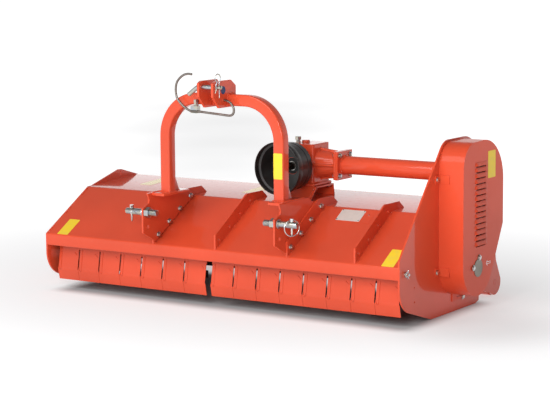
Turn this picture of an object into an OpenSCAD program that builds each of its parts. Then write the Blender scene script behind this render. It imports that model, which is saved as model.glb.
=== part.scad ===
// Flail mower for a tractor's three-point hitch, in millimetres.
// X runs to the right as the tractor side is seen, Y runs back from the tractor, Z is up.
// X = 0 lies midway between the side plates, Y = 0 is the face of the front lip, Z = 0 is the ground.

/* [Deck] */
// Width over the outer faces of the two side plates
overall_w = 1830; // [1500:10:2200]
// Thickness of the side plates
plate_t = 8; // [6:1:12]
// Thickness of the folded deck sheet
sheet_t = 5; // [3:1:8]
// Height of the front lip's lower edge
lip_z = 203; // [190:1:215]
// Height of the front lip's vertical face
lip_h = 53; // [45:1:70]
// Depth of the fold under the front lip
lip_return = 20; // [12:1:26]
// Slope of the front panel in degrees
slope = 30; // [26:1:34]
// Depth of the sloping front panel
slope_run = 310; // [280:5:340]
// Depth of the top panel behind the ridge
top_run = 370; // [350:5:400]
// Rise of the top panel towards the rear
top_rise = 19; // [5:1:40]
// Height of the rear panel's lower edge
rear_edge_z = 242; // [236:1:300]

/* [Side plates] */
// Radius of the rounded lower front corner
skid_r = 120; // [90:5:150]
// Height of that corner's centre
skid_corner_z = 172; // [155:1:190]
// Where the bottom edge meets the ground
skid_flat_y = 271; // [240:1:320]
// Rear edge of the side plates
plate_rear_y = 712; // [700:1:740]
// Height where the right plate's slanted edge starts
right_start_z = 286; // [265:1:300]
// Slope of the right plate's front edge in degrees
right_slope = 49.7; // [46:0.1:53]
// Top of the right plate
right_top_z = 739; // [737:1:760]
// Radius of the right plate's top front corner
right_corner_r = 100; // [80:5:120]
// Height of the left plate's ear
ear_z = 490; // [475:1:520]

/* [Ribs and hitch] */
// Thickness of ribs and hitch brackets
rib_t = 8; // [6:1:12]
// Sideways place of the hitch from the middle
hitch_x = 32; // [0:1:60]
// Width over the shoulders of the lower hitch pins
hitch_span = 683; // [660:1:700]
// Shift to the second pair of ribs
second_place = 327.5; // [300:0.5:345]
// Distance between the rib's bolt holes along the slope
rib_hole_pitch = 94.6; // [85:0.1:100]
// Radius of the bracket bolts
bolt_r = 6; // [5:0.5:8]
// Radius of the lower hitch pins
low_pin_r = 14; // [11:0.5:15]
// Free length of the lower hitch pins past their collars
low_pin_len = 88; // [80:1:110]
// Collar radius of the lower hitch pins
collar_r = 21; // [18:1:24]
// Collar width of the lower hitch pins
collar_w = 10; // [8:1:14]
// Lower hitch pins in front of the lip
low_pin_fwd = 61; // [55:1:66]
// Height of the lower hitch pins
low_pin_z = 404.5; // [400:0.5:410]
// Lynch pin's distance from the pin's free end
lynch_inset = 29; // [22:1:33]
// Radius of the lynch pins
lynch_r = 4.5; // [4:0.5:5.5]
// Mean radius of the lynch rings
ring_r = 33.6; // [31:0.1:36]
// Wire radius of the lynch rings
ring_wire_r = 2.25; // [2:0.25:2.5]

/* [Headstock] */
// Width of the square arch tube
tube_w = 50; // [45:1:60]
// Wall of the arch tube
tube_wall = 5; // [4:1:7]
// Distance between the centres of the arch's legs
arch_span = 583; // [560:1:600]
// Height of the flange that the arch stands on
arch_foot_z = 485; // [484:1:495]
// Height of the arch's upper face
arch_top_z = 925; // [900:5:950]
// Bend radius along the tube's centre line
arch_bend_r = 170; // [150:5:190]
// Front face of the arch tube
arch_front_y = 22; // [18:1:28]
// Gap between the clevis ears
clevis_gap = 60; // [54:1:66]
// Thickness of the clevis ears
clevis_t = 11.5; // [10:0.5:13]
// Radius of the top pin
top_pin_r = 9.5; // [9:0.5:10.5]
// Top pin in front of the lip
top_pin_fwd = 60; // [55:1:64]
// Height of the top pin
top_pin_z = 958; // [955:1:962]
// Radius of the shaft hook's rod
hook_r = 5; // [4:0.5:6]

/* [Gearbox] */
// Sideways place of the input shaft
input_x = 194; // [180:1:200]
// Height of the drive line
drive_z = 594; // [590:1:600]
// Depth of the cross shaft
drive_y = 480; // [470:1:490]
// Width of the gearbox
box_w = 128; // [120:2:140]
// Depth of the gearbox in front of the cross shaft
box_front = 70; // [65:1:80]
// Depth of the gearbox behind the cross shaft
box_rear = 70; // [65:1:80]
// Top of the gearbox
box_top_z = 683; // [675:1:695]
// Wall of the casting
cast_wall = 10; // [8:1:12]
// Distance from the gearbox to its output flange
neck_len = 95; // [80:1:110]
// Side of the square output flange
flange_w = 125; // [110:1:135]
// Bolt spacing on the output flange
flange_pitch = 88; // [76:1:92]
// Thickness of each flange plate
flange_t = 12; // [10:1:14]
// Radius of the cross tube
cross_r = 40; // [36:1:45]
// Wall of the cross tube
cross_wall = 4; // [3:1:6]
// Outer radius of the shaft guard
guard_r = 105; // [98:1:112]
// Mouth of the shaft guard
guard_mouth_y = 215; // [205:1:225]
// Depth of the shaft guard
guard_depth = 125; // [110:1:128]
// Depth of the thicker ring at the guard's mouth
guard_ring = 31; // [20:1:40]
// Module of the bevel gears
gear_m = 4; // [3.6:0.1:4.2]
// Width of the folded pedestal
pedestal_w = 168; // [150:2:180]
// Top of the pedestal
pedestal_z = 500; // [495:1:505]

/* [Belt drive] */
// Depth of the belt cover from the side plate
cover_d = 114; // [105:1:130]
// Sheet of the belt cover
cover_t = 3; // [2:0.5:4]
// Pitch radius of the drive pulley
drive_pulley_r = 103; // [95:1:108]
// Pitch radius of the rotor pulley
rotor_pulley_r = 56; // [50:1:62]
// Number of V-belts
belts = 3; // [2:1:4]
// Distance between the belts
belt_pitch = 20; // [19:1:21]
// Radius of the tensioner roller
idler_r = 38; // [32:1:42]
// Number of louvres in the cover
louvres = 15; // [10:1:18]
// Distance between louvres
louvre_pitch = 24; // [22:0.5:25]

/* [Rotor and flaps] */
// Height of the rotor's axis
rotor_z = 197; // [190:1:204]
// Depth of the rotor's axis
rotor_y = 474; // [468:1:480]
// Radius of the rotor tube
rotor_r = 70; // [60:1:80]
// Radius that the hammers sweep
sweep_r = 172; // [150:1:178]
// Number of hammers
hammers_n = 16; // [10:2:18]
// Number of flaps left of the gap
flaps_left = 7; // [5:1:8]
// Number of flaps right of the gap
flaps_right = 8; // [6:1:9]
// Gap between the two groups of flaps
flap_gap = 26; // [15:1:40]
// Flap sheet
flap_t = 3; // [2:0.5:4]
// Lower edge of the flaps above the ground
flap_bottom_z = 43; // [30:1:60]
// Radius of the flap rod
rod_r = 6; // [5:0.5:8]

/* [Roller] */
// Radius of the rear roller
roller_r = 60; // [50:1:70]
// Depth of the roller's axis
roller_y = 885; // [870:1:900]
// Travel of the roller arms below their stored height
roller_down = 60; // [40:1:60]
// Travel of the roller arms above their stored height
roller_up = 26; // [10:1:26]

/* [Hidden] */
FIXED_NODES = ["deck_shell", "side_plate_left", "side_plate_right", "deck_ribs", "hitch_brackets",
    "bracket_bolts", "headstock_arch", "clevis_ears", "lower_pins", "lower_pin_nuts", "shaft_hook",
    "hook_clamp", "pedestal", "gearbox_housing", "gearbox_plugs", "gearbox_bolts", "drive_bearings",
    "cross_tube", "pto_guard", "belt_cover", "cover_bolts", "rotor_bearings", "flap_rod",
    "rear_curtain", "roller_arms", "roller", "rotor_tube", "hammers", "rotor_pulley", "input_shaft",
    "input_gear", "output_shaft", "output_gear", "drive_pulley", "v_belts", "tensioner_arm",
    "idler_pulley", "top_pin", "top_pin_clip", "lynch_pin_left", "lynch_pin_right",
    "lynch_ring_left", "lynch_ring_right", "inspection_plate"];
flaps_n = flaps_left + flaps_right;
function flap_name(i) = str("flap_", i < 9 ? "0" : "", i + 1);
$fn = 48;

paint = [0.85, 0.22, 0.13];
paint_dark = [0.72, 0.17, 0.10];
zinc = [0.75, 0.76, 0.74];
steel = [0.50, 0.51, 0.53];
black = [0.08, 0.08, 0.08];
rubber = [0.12, 0.11, 0.11];

// Ground point under the machine's middle, where the finished part has its origin
origin = [42.5, 422];
module place() { translate([-origin[0], -origin[1], 0]) children(); }

// Clearances: bolts in their holes, shafts that turn, and faces that pass each other
bolt_fit = 0.3;
run_fit = 0.06;
pass_gap = 0.5;

plate_out = overall_w / 2;
plate_in = plate_out - plate_t;
lip_top_z = lip_z + lip_h;
ridge_z = lip_top_z + slope_run * tan(slope);
deck_rear_y = slope_run + top_run;
deck_rear_z = ridge_z + top_rise;
function slope_z(y) = lip_top_z + y * tan(slope);
function top_z(y) = ridge_z + (y - slope_run) * top_rise / top_run;

// Points of a circle's arc, from angle a to angle b in degrees
function arc(c, r, a, b, n = 16) = [for (i = [0 : n]) let (t = a + (b - a) * i / n) c + r * [cos(t),
    sin(t)]];
// Angle of the common outer tangent's normal, side +1 or -1
function tangent_angle(c1, r1, c2, r2, side) = let (d = c2 - c1)
    atan2(d[1], d[0]) + side * acos((r1 - r2) / norm(d));
// Mitred offset of an open path, to its left for t > 0
function unit(v) = v / norm(v);
function left_of(v) = [-v[1], v[0]];
function mitre(p, i, t) = let (last = len(p) - 1,
    a = unit(p[min(i + 1, last)] - p[min(i, last - 1)]),
    b = unit(p[max(i, 1)] - p[max(i - 1, 0)]),
    n = unit(left_of(a) + left_of(b)))
    p[i] + n * t / (n * left_of(a));
function offset_path(p, t) = [for (i = [0 : len(p) - 1]) mitre(p, i, t)];
function reversed(p) = [for (i = [len(p) - 1 : -1 : 0]) p[i]];
function sheet_outline(p, t) = concat(p, reversed(offset_path(p, t)));

// Extrusions along the axes: outlines are [Y, Z] along X and [X, Z] along Y
module along_x(x0, x1) { translate([x0, 0, 0]) rotate([90, 0, 90]) linear_extrude(x1 - x0) children(); }
module along_y(y0, y1) { translate([0, y1, 0]) rotate([90, 0, 0]) linear_extrude(y1 - y0) children(); }
module block(a, b) { translate(a) cube(b - a); }
module rod_x(x0, x1, y, z, r) { translate([x0, y, z]) rotate([0, 90, 0]) cylinder(h = x1 - x0, r = r); }
module rod_y(y0, y1, x, z, r) { translate([x, y0, z]) rotate([-90, 0, 0]) cylinder(h = y1 - y0, r = r); }
module rod_z(z0, z1, x, y, r) { translate([x, y, z0]) cylinder(h = z1 - z0, r = r); }
module ring_x(x0, x1, y, z, r, hole_r) {
    difference() {
        rod_x(x0, x1, y, z, r);
        rod_x(x0 - 1, x1 + 1, y, z, hole_r);
    }
}
module mirror_x(x) { translate([2 * x, 0, 0]) mirror([1, 0, 0]) children(); }

// Hexagon bolt along +Z: its head under the origin, its nut at the end of the grip
module bolt(r, grip) {
    head_h = 1.3 * r;
    across = 3.6 * r;
    translate([0, 0, -head_h]) cylinder(h = head_h, d = across, $fn = 6);
    cylinder(h = grip + head_h + r, r = r);
    translate([0, 0, grip]) cylinder(h = head_h + r / 2, d = across, $fn = 6);
}
// Round wire along a path that lies in the X-Z plane, as one mitred tube
module wire(path, r, sides = 12) {
    n = len(path);
    rings = [for (i = [0 : n - 1], k = [0 : sides - 1]) let (a = 360 * k / sides, q = mitre(path, i,
        r * sin(a)))
        [q[0], r * cos(a), q[1]]];
    walls = [for (i = [0 : n - 2], k = [0 : sides - 1], h = [0, 1]) let (j = (k + 1) % sides,
        a = i * sides + k, b = i * sides + j, c = a + sides, d = b + sides) h == 0 ? [a, d, b] : [a, c,
            d]];
    ends = [for (k = [1 : sides - 2], h = [0, 1]) let (e = (n - 1) * sides) h == 0 ? [0, k, k + 1] : [e,
        e + k + 1, e + k]];
    polyhedron(rings, concat(walls, ends));
}

// Angle at which the tangent from point p touches a circle, side +1 or -1
function point_tangent(c, r, p, side) = let (d = p - c) atan2(d[1], d[0]) + side * acos(r / norm(d));

// Side plates: rounded skid corner, flat foot, lifted rear corner
skid_c = [skid_r, skid_corner_z];
skid_turn = 360 + point_tangent(skid_c, skid_r, [skid_flat_y, 0], -1);
heel = [32, 10];
skid_outline = concat(arc(skid_c, skid_r, 180, skid_turn),
    [[skid_flat_y, 0], [plate_rear_y - heel[0], 0], [plate_rear_y, heel[1]]]);
ear_front_y = slope_run + 24;
ear_top = [slope_run + 230, slope_run + 250];
ear_rear_drop = 14;
left_outline = concat(skid_outline, [[plate_rear_y, deck_rear_z - ear_rear_drop], [deck_rear_y + 7,
    deck_rear_z],
    [ear_top[1], ear_z], [ear_top[0], ear_z], [ear_front_y, top_z(ear_front_y)], [slope_run, ridge_z],
    [0, lip_top_z]]);
right_corner = [(right_corner_r + (right_top_z - right_corner_r - right_start_z) * cos(right_slope))
    / sin(right_slope), right_top_z - right_corner_r];
right_rear_r = 150;
right_rear = [plate_rear_y - right_rear_r, right_top_z - right_rear_r];
right_outline = concat([[0, right_start_z]], arc(right_corner, right_corner_r, 90 + right_slope, 90),
    arc(right_rear, right_rear_r, 90, 0), reversed(skid_outline));
plate_holes = [[126, 157], [126, 97]];
plate_hole_r = 4;

// Shafts
shaft_r = 17.5;
rotor_shaft_r = 22.5;
shaft_hole_fit = 6;
rod_y0 = 47;
rod_z0 = lip_z + 21;
pivot_r = 10;
axle_r = 12.5;
roller_z = roller_r;

// Belt cover outline, drawn in by w from its outer face
cover_x = plate_out + cover_d;
cover_front_y = 336;
cover_front = [440, 627];
cover_front_r = cover_front[0] - cover_front_y;
cover_rear = [525, 550];
cover_rear_r = 183;
cover_low = [rotor_y, 215];
cover_low_r = rotor_y - cover_front_y;
cover_bend_z = 361;
cover_top_turn = tangent_angle(cover_front, cover_front_r, cover_rear, cover_rear_r, 1);
cover_bend = [cover_rear[0] + cover_rear_r, cover_bend_z];
cover_low_turn = point_tangent(cover_low, cover_low_r, cover_bend, -1);
function cover_outline(w) = concat(
    arc(cover_front, cover_front_r - w, 180, cover_top_turn),
    arc(cover_rear, cover_rear_r - w, cover_top_turn, 0),
    [cover_bend + w * [-1, tan(-cover_low_turn / 2)]],
    arc(cover_low, cover_low_r - w, cover_low_turn, -180));
tab_depth = 50;
tab_h = 36;
tab_reach = 36;
tab_t = 4;
tabs = [[cover_front_y, 581], [cover_front_y, 191]];
tab_bolt_in = 20;
foot_tab = [[454, 45], [566, 58]];
foot_tab_bolt_y = 552;
foot_tab_bolt_z = (foot_tab[0][1] + foot_tab[1][1]) / 2;
// Inspection plate over the rotor shaft's end
view_c = [rotor_y, rotor_z];
view_r = 38;
view_hole_r = 28;
view_t = 2.5;
view_pivot = view_c + [8, 43];
view_lock = view_c + [-48, 6];
view_bolt_r = 5;

// Belt drive
belt_x = plate_out + 57;
belt_top_w = 17;
belt_over = 2;
belt_under = 9;
belt_angle = 17;
belt_fit = 0.6;
pulley_w = belts * belt_pitch + 4;
drive_c = [drive_y, drive_z];
rotor_c = [rotor_y, rotor_z];
drive_axis_gap = norm(rotor_c - drive_c);
belt_dir = atan2(rotor_c[1] - drive_c[1], rotor_c[0] - drive_c[0]);
belt_wrap = acos((drive_pulley_r - rotor_pulley_r) / drive_axis_gap);
rear_normal = [cos(belt_dir + belt_wrap), sin(belt_dir + belt_wrap)];
belt_rear_top = drive_c + drive_pulley_r * rear_normal;
belt_rear_low = rotor_c + rotor_pulley_r * rear_normal;
idler_share = 0.42;
idler_c = belt_rear_top + idler_share * (belt_rear_low - belt_rear_top)
    + (belt_over + pass_gap + idler_r) * rear_normal;
tension_pivot = idler_c + [52, 140];
arm_t = 8;
arm_x = plate_out + 6;
belt_steps = 24;

// Gearbox
box_left = input_x - box_w / 2;
box_right = input_x + box_w / 2;
box_y0 = drive_y - box_front;
box_y1 = drive_y + box_rear;
foot_t = 12;
box_z0 = pedestal_z + foot_t;
boss_r = 52;
boss_len = 70;
bearing_r = 31;
bearing_w = 20;
flange_x = box_right + neck_len;
tube_flange_x = flange_x + flange_t;
gear_teeth = [24, 12];
gear_face = 20;
gear_cone = gear_m * norm(gear_teeth) / 2;
spline_r = 17.4;
spline_core_r = 14.6;
spline_n = 6;
input_tip_y = guard_mouth_y + 45;
guard_wall = 4;
flange_bolt_r = 6;
ped_y = [404, 552];

// Ribs and brackets: holes at a distance along the slope and a height above it
hitch_left = hitch_x - hitch_span / 2;
hitch_right = hitch_x + hitch_span / 2;
rib_hole_s = 42.8;
rib_hole_h = 22;
function rib_hole(i) = [0, lip_top_z] + (rib_hole_s + i * rib_hole_pitch) * [cos(slope), sin(slope)]
    + rib_hole_h * [-sin(slope), cos(slope)];
rib_front_h = 65;
rib_rear_h = 71;
rib_bend_y = 240;
rib_tail_y = slope_run + 60;
rib_tail_h = 33;
rib_end_y = slope_run + 102;
rib_outline = [[0, lip_top_z], [0, lip_top_z + rib_front_h], [rib_bend_y,
    slope_z(rib_bend_y) + rib_rear_h],
    [rib_bend_y + 15, slope_z(rib_bend_y) + rib_rear_h + 6], [rib_tail_y, top_z(rib_tail_y) + rib_tail_h],
    [rib_end_y, top_z(rib_end_y)], [slope_run, ridge_z]];
bracket_lift = 10.5;
last_hole = rib_hole(3);
nose_y = -(low_pin_fwd + 23);
foot_y = [-20, 170];
bracket_outline = [[nose_y, low_pin_z - 88.5], [5, slope_z(5) + bracket_lift],
    [last_hole[0] + 14, slope_z(last_hole[0] + 14) + bracket_lift], [last_hole[0] + 26, last_hole[1] + 8],
    [last_hole[0] + 13, last_hole[1] + 23], [209, arch_foot_z - 19], [182, arch_foot_z],
    [-46, arch_foot_z], [-46, arch_foot_z - 5], [-34, arch_foot_z - 29], [-40, low_pin_z + 36.5],
    [nose_y, low_pin_z + 20.5]];
spare_hole = [-49, low_pin_z - 66.5];
spare_hole_r = 9;
stud_r = 13.5;
nut_w = 22;
stud_len = 59;
lynch_head_r = 9;
lynch_head_z = [low_pin_r + 0.5, low_pin_r + 14];
ring_hinge_up = lynch_head_z[0] + 7;
ring_hole_r = ring_wire_r + 1.85;
lynch_tip = 2 * ring_r - ring_hinge_up - ring_wire_r - 0.45;
ring_turn = 57;
lynch_left_x = hitch_left - collar_w - low_pin_len + lynch_inset;
lynch_right_x = hitch_right + collar_w + low_pin_len - lynch_inset;

// Headstock
arch_foot_t = 12;
arch_y = arch_front_y + tube_w / 2;
leg_left_x = hitch_x - arch_span / 2;
leg_right_x = hitch_x + arch_span / 2;
tube_round = 8;
gusset = [50, 100];
ear_left_x = hitch_x - clevis_gap / 2;
ear_right_x = hitch_x + clevis_gap / 2;
ear_low_z = arch_top_z - 55;
ear_outline = [[-84, ear_low_z + 48], [-38, ear_low_z], [86, ear_low_z], [86, ear_low_z + 89],
    [49, ear_low_z + 115], [-64, ear_low_z + 115], [-84, ear_low_z + 105]];
hook_y = arch_front_y - 24;
hook_hole_z = arch_top_z - 24;
// Hook's route as distances from the hitch centre and from the arch's upper face
hook_route = [[34, -24], [44, -24], [60, -28], [72, -34], [81, -44], [88, -56], [89, -68], [86, -78],
    [78, -85], [64, -88], [-94, -77], [-130, -77], [-142, -73], [-159, -65], [-175, -54], [-187, -43],
    [-199, -30], [-206, -15], [-209, 5], [-208, 24], [-204, 40], [-195, 54], [-182, 66], [-168, 75],
    [-152, 80], [-138, 81], [-124, 80]];
clamp_x = hitch_x - 112;
clamp_w = 34;
clamp_rod_z = arch_top_z - 77;
clamp_h = [8.2, 23];
clamp_plate = 3;
clamp_y = [hook_y - 7, arch_front_y - 6];
clamp_bolt_y = hook_y + 11.6;
clamp_bolt_r = 5;
lug = [[clamp_x - 15, clamp_x + 4], [clamp_rod_z + 7, clamp_rod_z + 42]];
clip_wire_r = 2;
clip_x = ear_right_x + clevis_t + 14;
pin_tip_x = clip_x + 13;
// Clip's route as [Y, Z] from the top pin's axis
clip_route = [[0, -43], [0, 22], [5, 32], [6.5, 42], [2, 53], [-6, 57.5], [-14, 54], [-19, 45], [-18, 35],
    [-10, 24], [-14.5, 12], [-14.5, -12], [-19, -22]];
clip_turn = 60;

// Rotor
rotor_x = [-plate_in + 27, plate_in - 37];
lug_t = 8;
hammer_pin = 98;
hammer_w = 64;
hammer_t = 32;
hammer_neck = 14;
hammer_margin = 45;
hammer_step = (rotor_x[1] - rotor_x[0] - 2 * hammer_margin) / (hammers_n - 1);
hammer_turn = 135;
bearing_flange = 130;
bearing_depth = 32;
function hammer_x(i) = rotor_x[0] + hammer_margin + i * hammer_step;

// Flaps
flap_ends = [23, 15];
flap_pitch = (2 * plate_in - flap_ends[0] - flap_ends[1] - flap_gap) / flaps_n;
flap_play = 1.2;
knuckle_r = 10;
knuckle_w = 22;
flap_bend_h = 49;
flap_path = [[rod_y0 + 4, rod_z0 - 8], [rod_y0 + 13, rod_z0 - 24],
    [rod_y0 - 5, flap_bottom_z + flap_bend_h], [rod_y0 + 6, flap_bottom_z]];
flap_notch = [3, flap_bottom_z + flap_bend_h + 3, rod_z0 - 41];
function flap_x(i) = -plate_in + flap_ends[0] + i * flap_pitch + (i >= flaps_left ? flap_gap : 0);

// Roller arms
arm_top_z = rear_edge_z - roller_up - 8;
arm_front_y = 610;
arm_sheet = 8;
arm_round = 57;
arm_x0 = plate_in - arm_sheet;
arm_c = [roller_y, roller_z];
arm_outline = concat([[arm_front_y, arm_top_z], [arm_front_y, 82], [roller_y - 140, roller_z - 12],
    [roller_y - 53, roller_z - 39]], arc(arm_c, arm_round, 235, 370),
    [[roller_y + 10, roller_z + 99], [roller_y + 1, arm_top_z]]);
arm_slots = [630, 662];
arm_bolt_z = 124;
arm_bolt_r = 7;
boss = [24, 6];

module deck_shell() {
    path = [[lip_return, lip_z], [0, lip_z], [0, lip_top_z], [slope_run, ridge_z],
        [deck_rear_y, deck_rear_z], [deck_rear_y, rear_edge_z]];
    color(paint) along_x(-plate_in, plate_in) polygon(sheet_outline(path, -sheet_t));
}

module plate_bores(x0, x1) {
    for (p = plate_holes) rod_x(x0 - 1, x1 + 1, p[0], p[1], plate_hole_r);
    rod_x(x0 - 1, x1 + 1, rotor_y, rotor_z, rotor_shaft_r + shaft_hole_fit);
    rod_x(x0 - 1, x1 + 1, rod_y0, rod_z0, rod_r + bolt_fit);
    for (y = arm_slots) rod_x(x0 - 1, x1 + 1, y, arm_bolt_z, arm_bolt_r + bolt_fit);
}

module side_plate_left() {
    color(paint) difference() {
        along_x(-plate_out, -plate_in) polygon(left_outline);
        plate_bores(-plate_out, -plate_in);
        block([-plate_out - 1, ear_top[0] + 10, ear_z - 30], [-plate_in + 1, ear_top[0] + 18, ear_z - 8]);
    }
}

module side_plate_right() {
    color(paint_dark) difference() {
        along_x(plate_in, plate_out) polygon(right_outline);
        plate_bores(plate_in, plate_out);
        rod_x(plate_in - 1, plate_out + 1, drive_y, drive_z, shaft_r + shaft_hole_fit);
        rod_x(plate_in - 1, plate_out + 1, tension_pivot[0], tension_pivot[1], pivot_r + run_fit);
        for (t = tabs) rod_x(plate_in - 1, plate_out + 1, t[0] - tab_bolt_in, t[1], bolt_r + bolt_fit);
        rod_x(plate_in - 1, plate_out + 1, foot_tab_bolt_y, foot_tab_bolt_z, plate_hole_r);
    }
}

module rib(x) {
    difference() {
        along_x(x, x + rib_t) polygon(rib_outline);
        for (i = [0 : 3]) rod_x(x - 1, x + rib_t + 1, rib_hole(i)[0], rib_hole(i)[1], bolt_r + bolt_fit);
    }
}

module deck_ribs() {
    color(paint) for (x = [hitch_left - rib_t, hitch_left + second_place - rib_t, hitch_right,
        hitch_right + second_place]) rib(x);
}

module hitch_bracket(x) {
    difference() {
        along_x(x, x + rib_t) polygon(bracket_outline);
        for (i = [0 : 3]) rod_x(x - 1, x + rib_t + 1, rib_hole(i)[0], rib_hole(i)[1], bolt_r + bolt_fit);
        rod_x(x - 1, x + rib_t + 1, -low_pin_fwd, low_pin_z, stud_r + bolt_fit);
        rod_x(x - 1, x + rib_t + 1, spare_hole[0], spare_hole[1], spare_hole_r);
    }
}

module hitch_brackets() {
    color(paint) {
        hitch_bracket(hitch_left);
        hitch_bracket(hitch_right - rib_t);
    }
}

module bracket_bolts() {
    color(zinc) for (i = [0 : 3]) {
        p = rib_hole(i);
        translate([hitch_left + rib_t, p[0], p[1]]) rotate([0, -90, 0]) bolt(bolt_r, 2 * rib_t);
        translate([hitch_right + rib_t, p[0], p[1]]) rotate([0, -90, 0]) bolt(bolt_r, 2 * rib_t);
    }
}

module tube_section(w, r) {
    square([w, w - 2 * r], center = true);
    square([w - 2 * r, w], center = true);
    for (i = [-1, 1], j = [-1, 1]) translate([i, j] * (w / 2 - r)) circle(r = r);
}

// The arch's outside or its bore: two legs, two quarter bends and the bridge between them
module arch_run(w, r) {
    bend_z = arch_top_z - tube_w / 2 - arch_bend_r;
    for (x = [leg_left_x, leg_right_x]) translate([x, arch_y, arch_foot_z])
        linear_extrude(bend_z - arch_foot_z) tube_section(w, r);
    translate([leg_right_x - arch_bend_r, arch_y, bend_z]) rotate([90, 0, 0])
        rotate_extrude(angle = 90) translate([arch_bend_r, 0]) tube_section(w, r);
    mirror_x(hitch_x) translate([leg_right_x - arch_bend_r, arch_y, bend_z]) rotate([90, 0, 0])
        rotate_extrude(angle = 90) translate([arch_bend_r, 0]) tube_section(w, r);
    translate([leg_left_x + arch_bend_r, arch_y, arch_top_z - tube_w / 2]) rotate([0, 90, 0])
        linear_extrude(arch_span - 2 * arch_bend_r) tube_section(w, r);
}

module headstock_arch() {
    back = arch_front_y + tube_w;
    color(paint) {
        difference() {
            arch_run(tube_w, tube_round);
            arch_run(tube_w - 2 * tube_wall, tube_round - tube_wall);
        }
        block([hitch_left + rib_t, foot_y[0], arch_foot_z - arch_foot_t],
            [leg_left_x + tube_w / 2, foot_y[1], arch_foot_z]);
        block([leg_right_x - tube_w / 2, foot_y[0], arch_foot_z - arch_foot_t],
            [hitch_right - rib_t, foot_y[1], arch_foot_z]);
        for (x = [leg_left_x, leg_right_x]) along_x(x - rib_t / 2, x + rib_t / 2)
            polygon([[back, arch_foot_z], [back + gusset[0], arch_foot_z], [back,
                arch_foot_z + gusset[1]]]);
        difference() {
            block([lug[0][0], clamp_y[1], lug[1][0]], [lug[0][1], arch_front_y + tube_wall / 2, lug[1][1]]);
            rod_z(clamp_rod_z + clamp_h[1] - pass_gap, lug[1][1] + 1, clamp_x, clamp_bolt_y,
                2.2 * clamp_bolt_r + pass_gap);
        }
    }
}

module clevis_ears() {
    color(paint) for (x = [ear_left_x - clevis_t, ear_right_x]) difference() {
        along_x(x, x + clevis_t) polygon(ear_outline);
        block([x - 1, arch_front_y, arch_top_z - tube_w], [x + clevis_t + 1, arch_front_y + tube_w,
            arch_top_z]);
        rod_x(x - 1, x + clevis_t + 1, -top_pin_fwd, top_pin_z, top_pin_r + run_fit);
        rod_x(x - 1, x + clevis_t + 1, hook_y, hook_hole_z, hook_r + bolt_fit);
    }
}

// Hitch pin along +X from the bracket's outer face: stud, coned collar, the length that the link's ball
// sits on between a relief and a slightly thinner end with the lynch pin's hole
module lower_pin() {
    chamfer = 3;
    cone = 0.6 * collar_w;
    seat = 2.5;
    end_r = low_pin_r - 0.5;
    lynch_at = collar_w + low_pin_len - lynch_inset;
    difference() {
        union() {
            rod_x(-rib_t - stud_len, 1, 0, 0, stud_r);
            rotate([0, 90, 0]) cylinder(h = cone, r1 = stud_r + seat, r2 = collar_r);
            rod_x(cone, collar_w, 0, 0, collar_r);
            rod_x(collar_w + 1, lynch_at - lynch_head_r - 1, 0, 0, low_pin_r);
            rod_x(cone, collar_w + low_pin_len - chamfer, 0, 0, end_r);
            translate([collar_w + low_pin_len - chamfer, 0, 0]) rotate([0, 90, 0])
                cylinder(h = chamfer, r1 = end_r, r2 = end_r - chamfer);
        }
        rod_z(-low_pin_r - 1, low_pin_r + 1, lynch_at, 0, lynch_r + run_fit);
    }
}

module lower_pins() {
    color(zinc) {
        translate([hitch_right, -low_pin_fwd, low_pin_z]) lower_pin();
        translate([hitch_left, -low_pin_fwd, low_pin_z]) rotate([0, 0, 180]) lower_pin();
    }
}

module lower_pin_nuts() {
    color(zinc) for (x = [hitch_left + rib_t, hitch_right - rib_t - nut_w])
        translate([x, -low_pin_fwd, low_pin_z]) rotate([0, 90, 0]) difference() {
            cylinder(h = nut_w, d = 3.5 * stud_r, $fn = 6);
            translate([0, 0, -1]) cylinder(h = nut_w + 2, r = stud_r);
        }
}

module shaft_hook() {
    color(steel) translate([hitch_x, hook_y, arch_top_z]) wire(hook_route, hook_r);
}

// Clamp under the arch's lug: a block over the hook's rod, a thin plate under it and a web behind it,
// drawn together by a bolt on a spacer nut
module hook_clamp() {
    x = [clamp_x - clamp_w / 2, clamp_x + clamp_w / 2];
    over = hook_r + 0.2;
    top = clamp_rod_z + clamp_h[1];
    low = clamp_rod_z - clamp_h[0];
    color(zinc) {
        difference() {
            union() {
                block([x[0], clamp_y[0], clamp_rod_z + over], [x[1], clamp_y[1], top]);
                block([x[0], clamp_y[0], low], [x[1], clamp_y[1], low + clamp_plate]);
                block([x[0], hook_y + over, low], [x[1], clamp_y[1], top]);
            }
            rod_z(low - 1, top + 1, clamp_x, clamp_bolt_y, clamp_bolt_r + bolt_fit);
        }
        rod_z(low - 2, top + 15, clamp_x, clamp_bolt_y, clamp_bolt_r);
        translate([clamp_x, clamp_bolt_y, top]) cylinder(h = 13, d = 4 * clamp_bolt_r, $fn = 6);
        translate([clamp_x, clamp_bolt_y, top + 13]) cylinder(h = 13, d = 4.4 * clamp_bolt_r, $fn = 6);
    }
}

module pedestal() {
    rear_lean = 10;
    sink = 8;
    front_y = slope_run + 20;
    low_y = ped_y[0] - (pedestal_z - top_z(ped_y[0]));
    path = [[low_y - sink, top_z(low_y) - sink], [ped_y[0], pedestal_z], [ped_y[1], pedestal_z],
        [ped_y[1] + rear_lean, top_z(ped_y[1]) - sink]];
    color(paint) along_x(input_x - pedestal_w / 2, input_x + pedestal_w / 2) difference() {
        polygon(sheet_outline(path, -rib_t));
        polygon([[front_y, top_z(front_y)], [deck_rear_y, deck_rear_z], [deck_rear_y, 0], [front_y, 0]]);
    }
}

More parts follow.
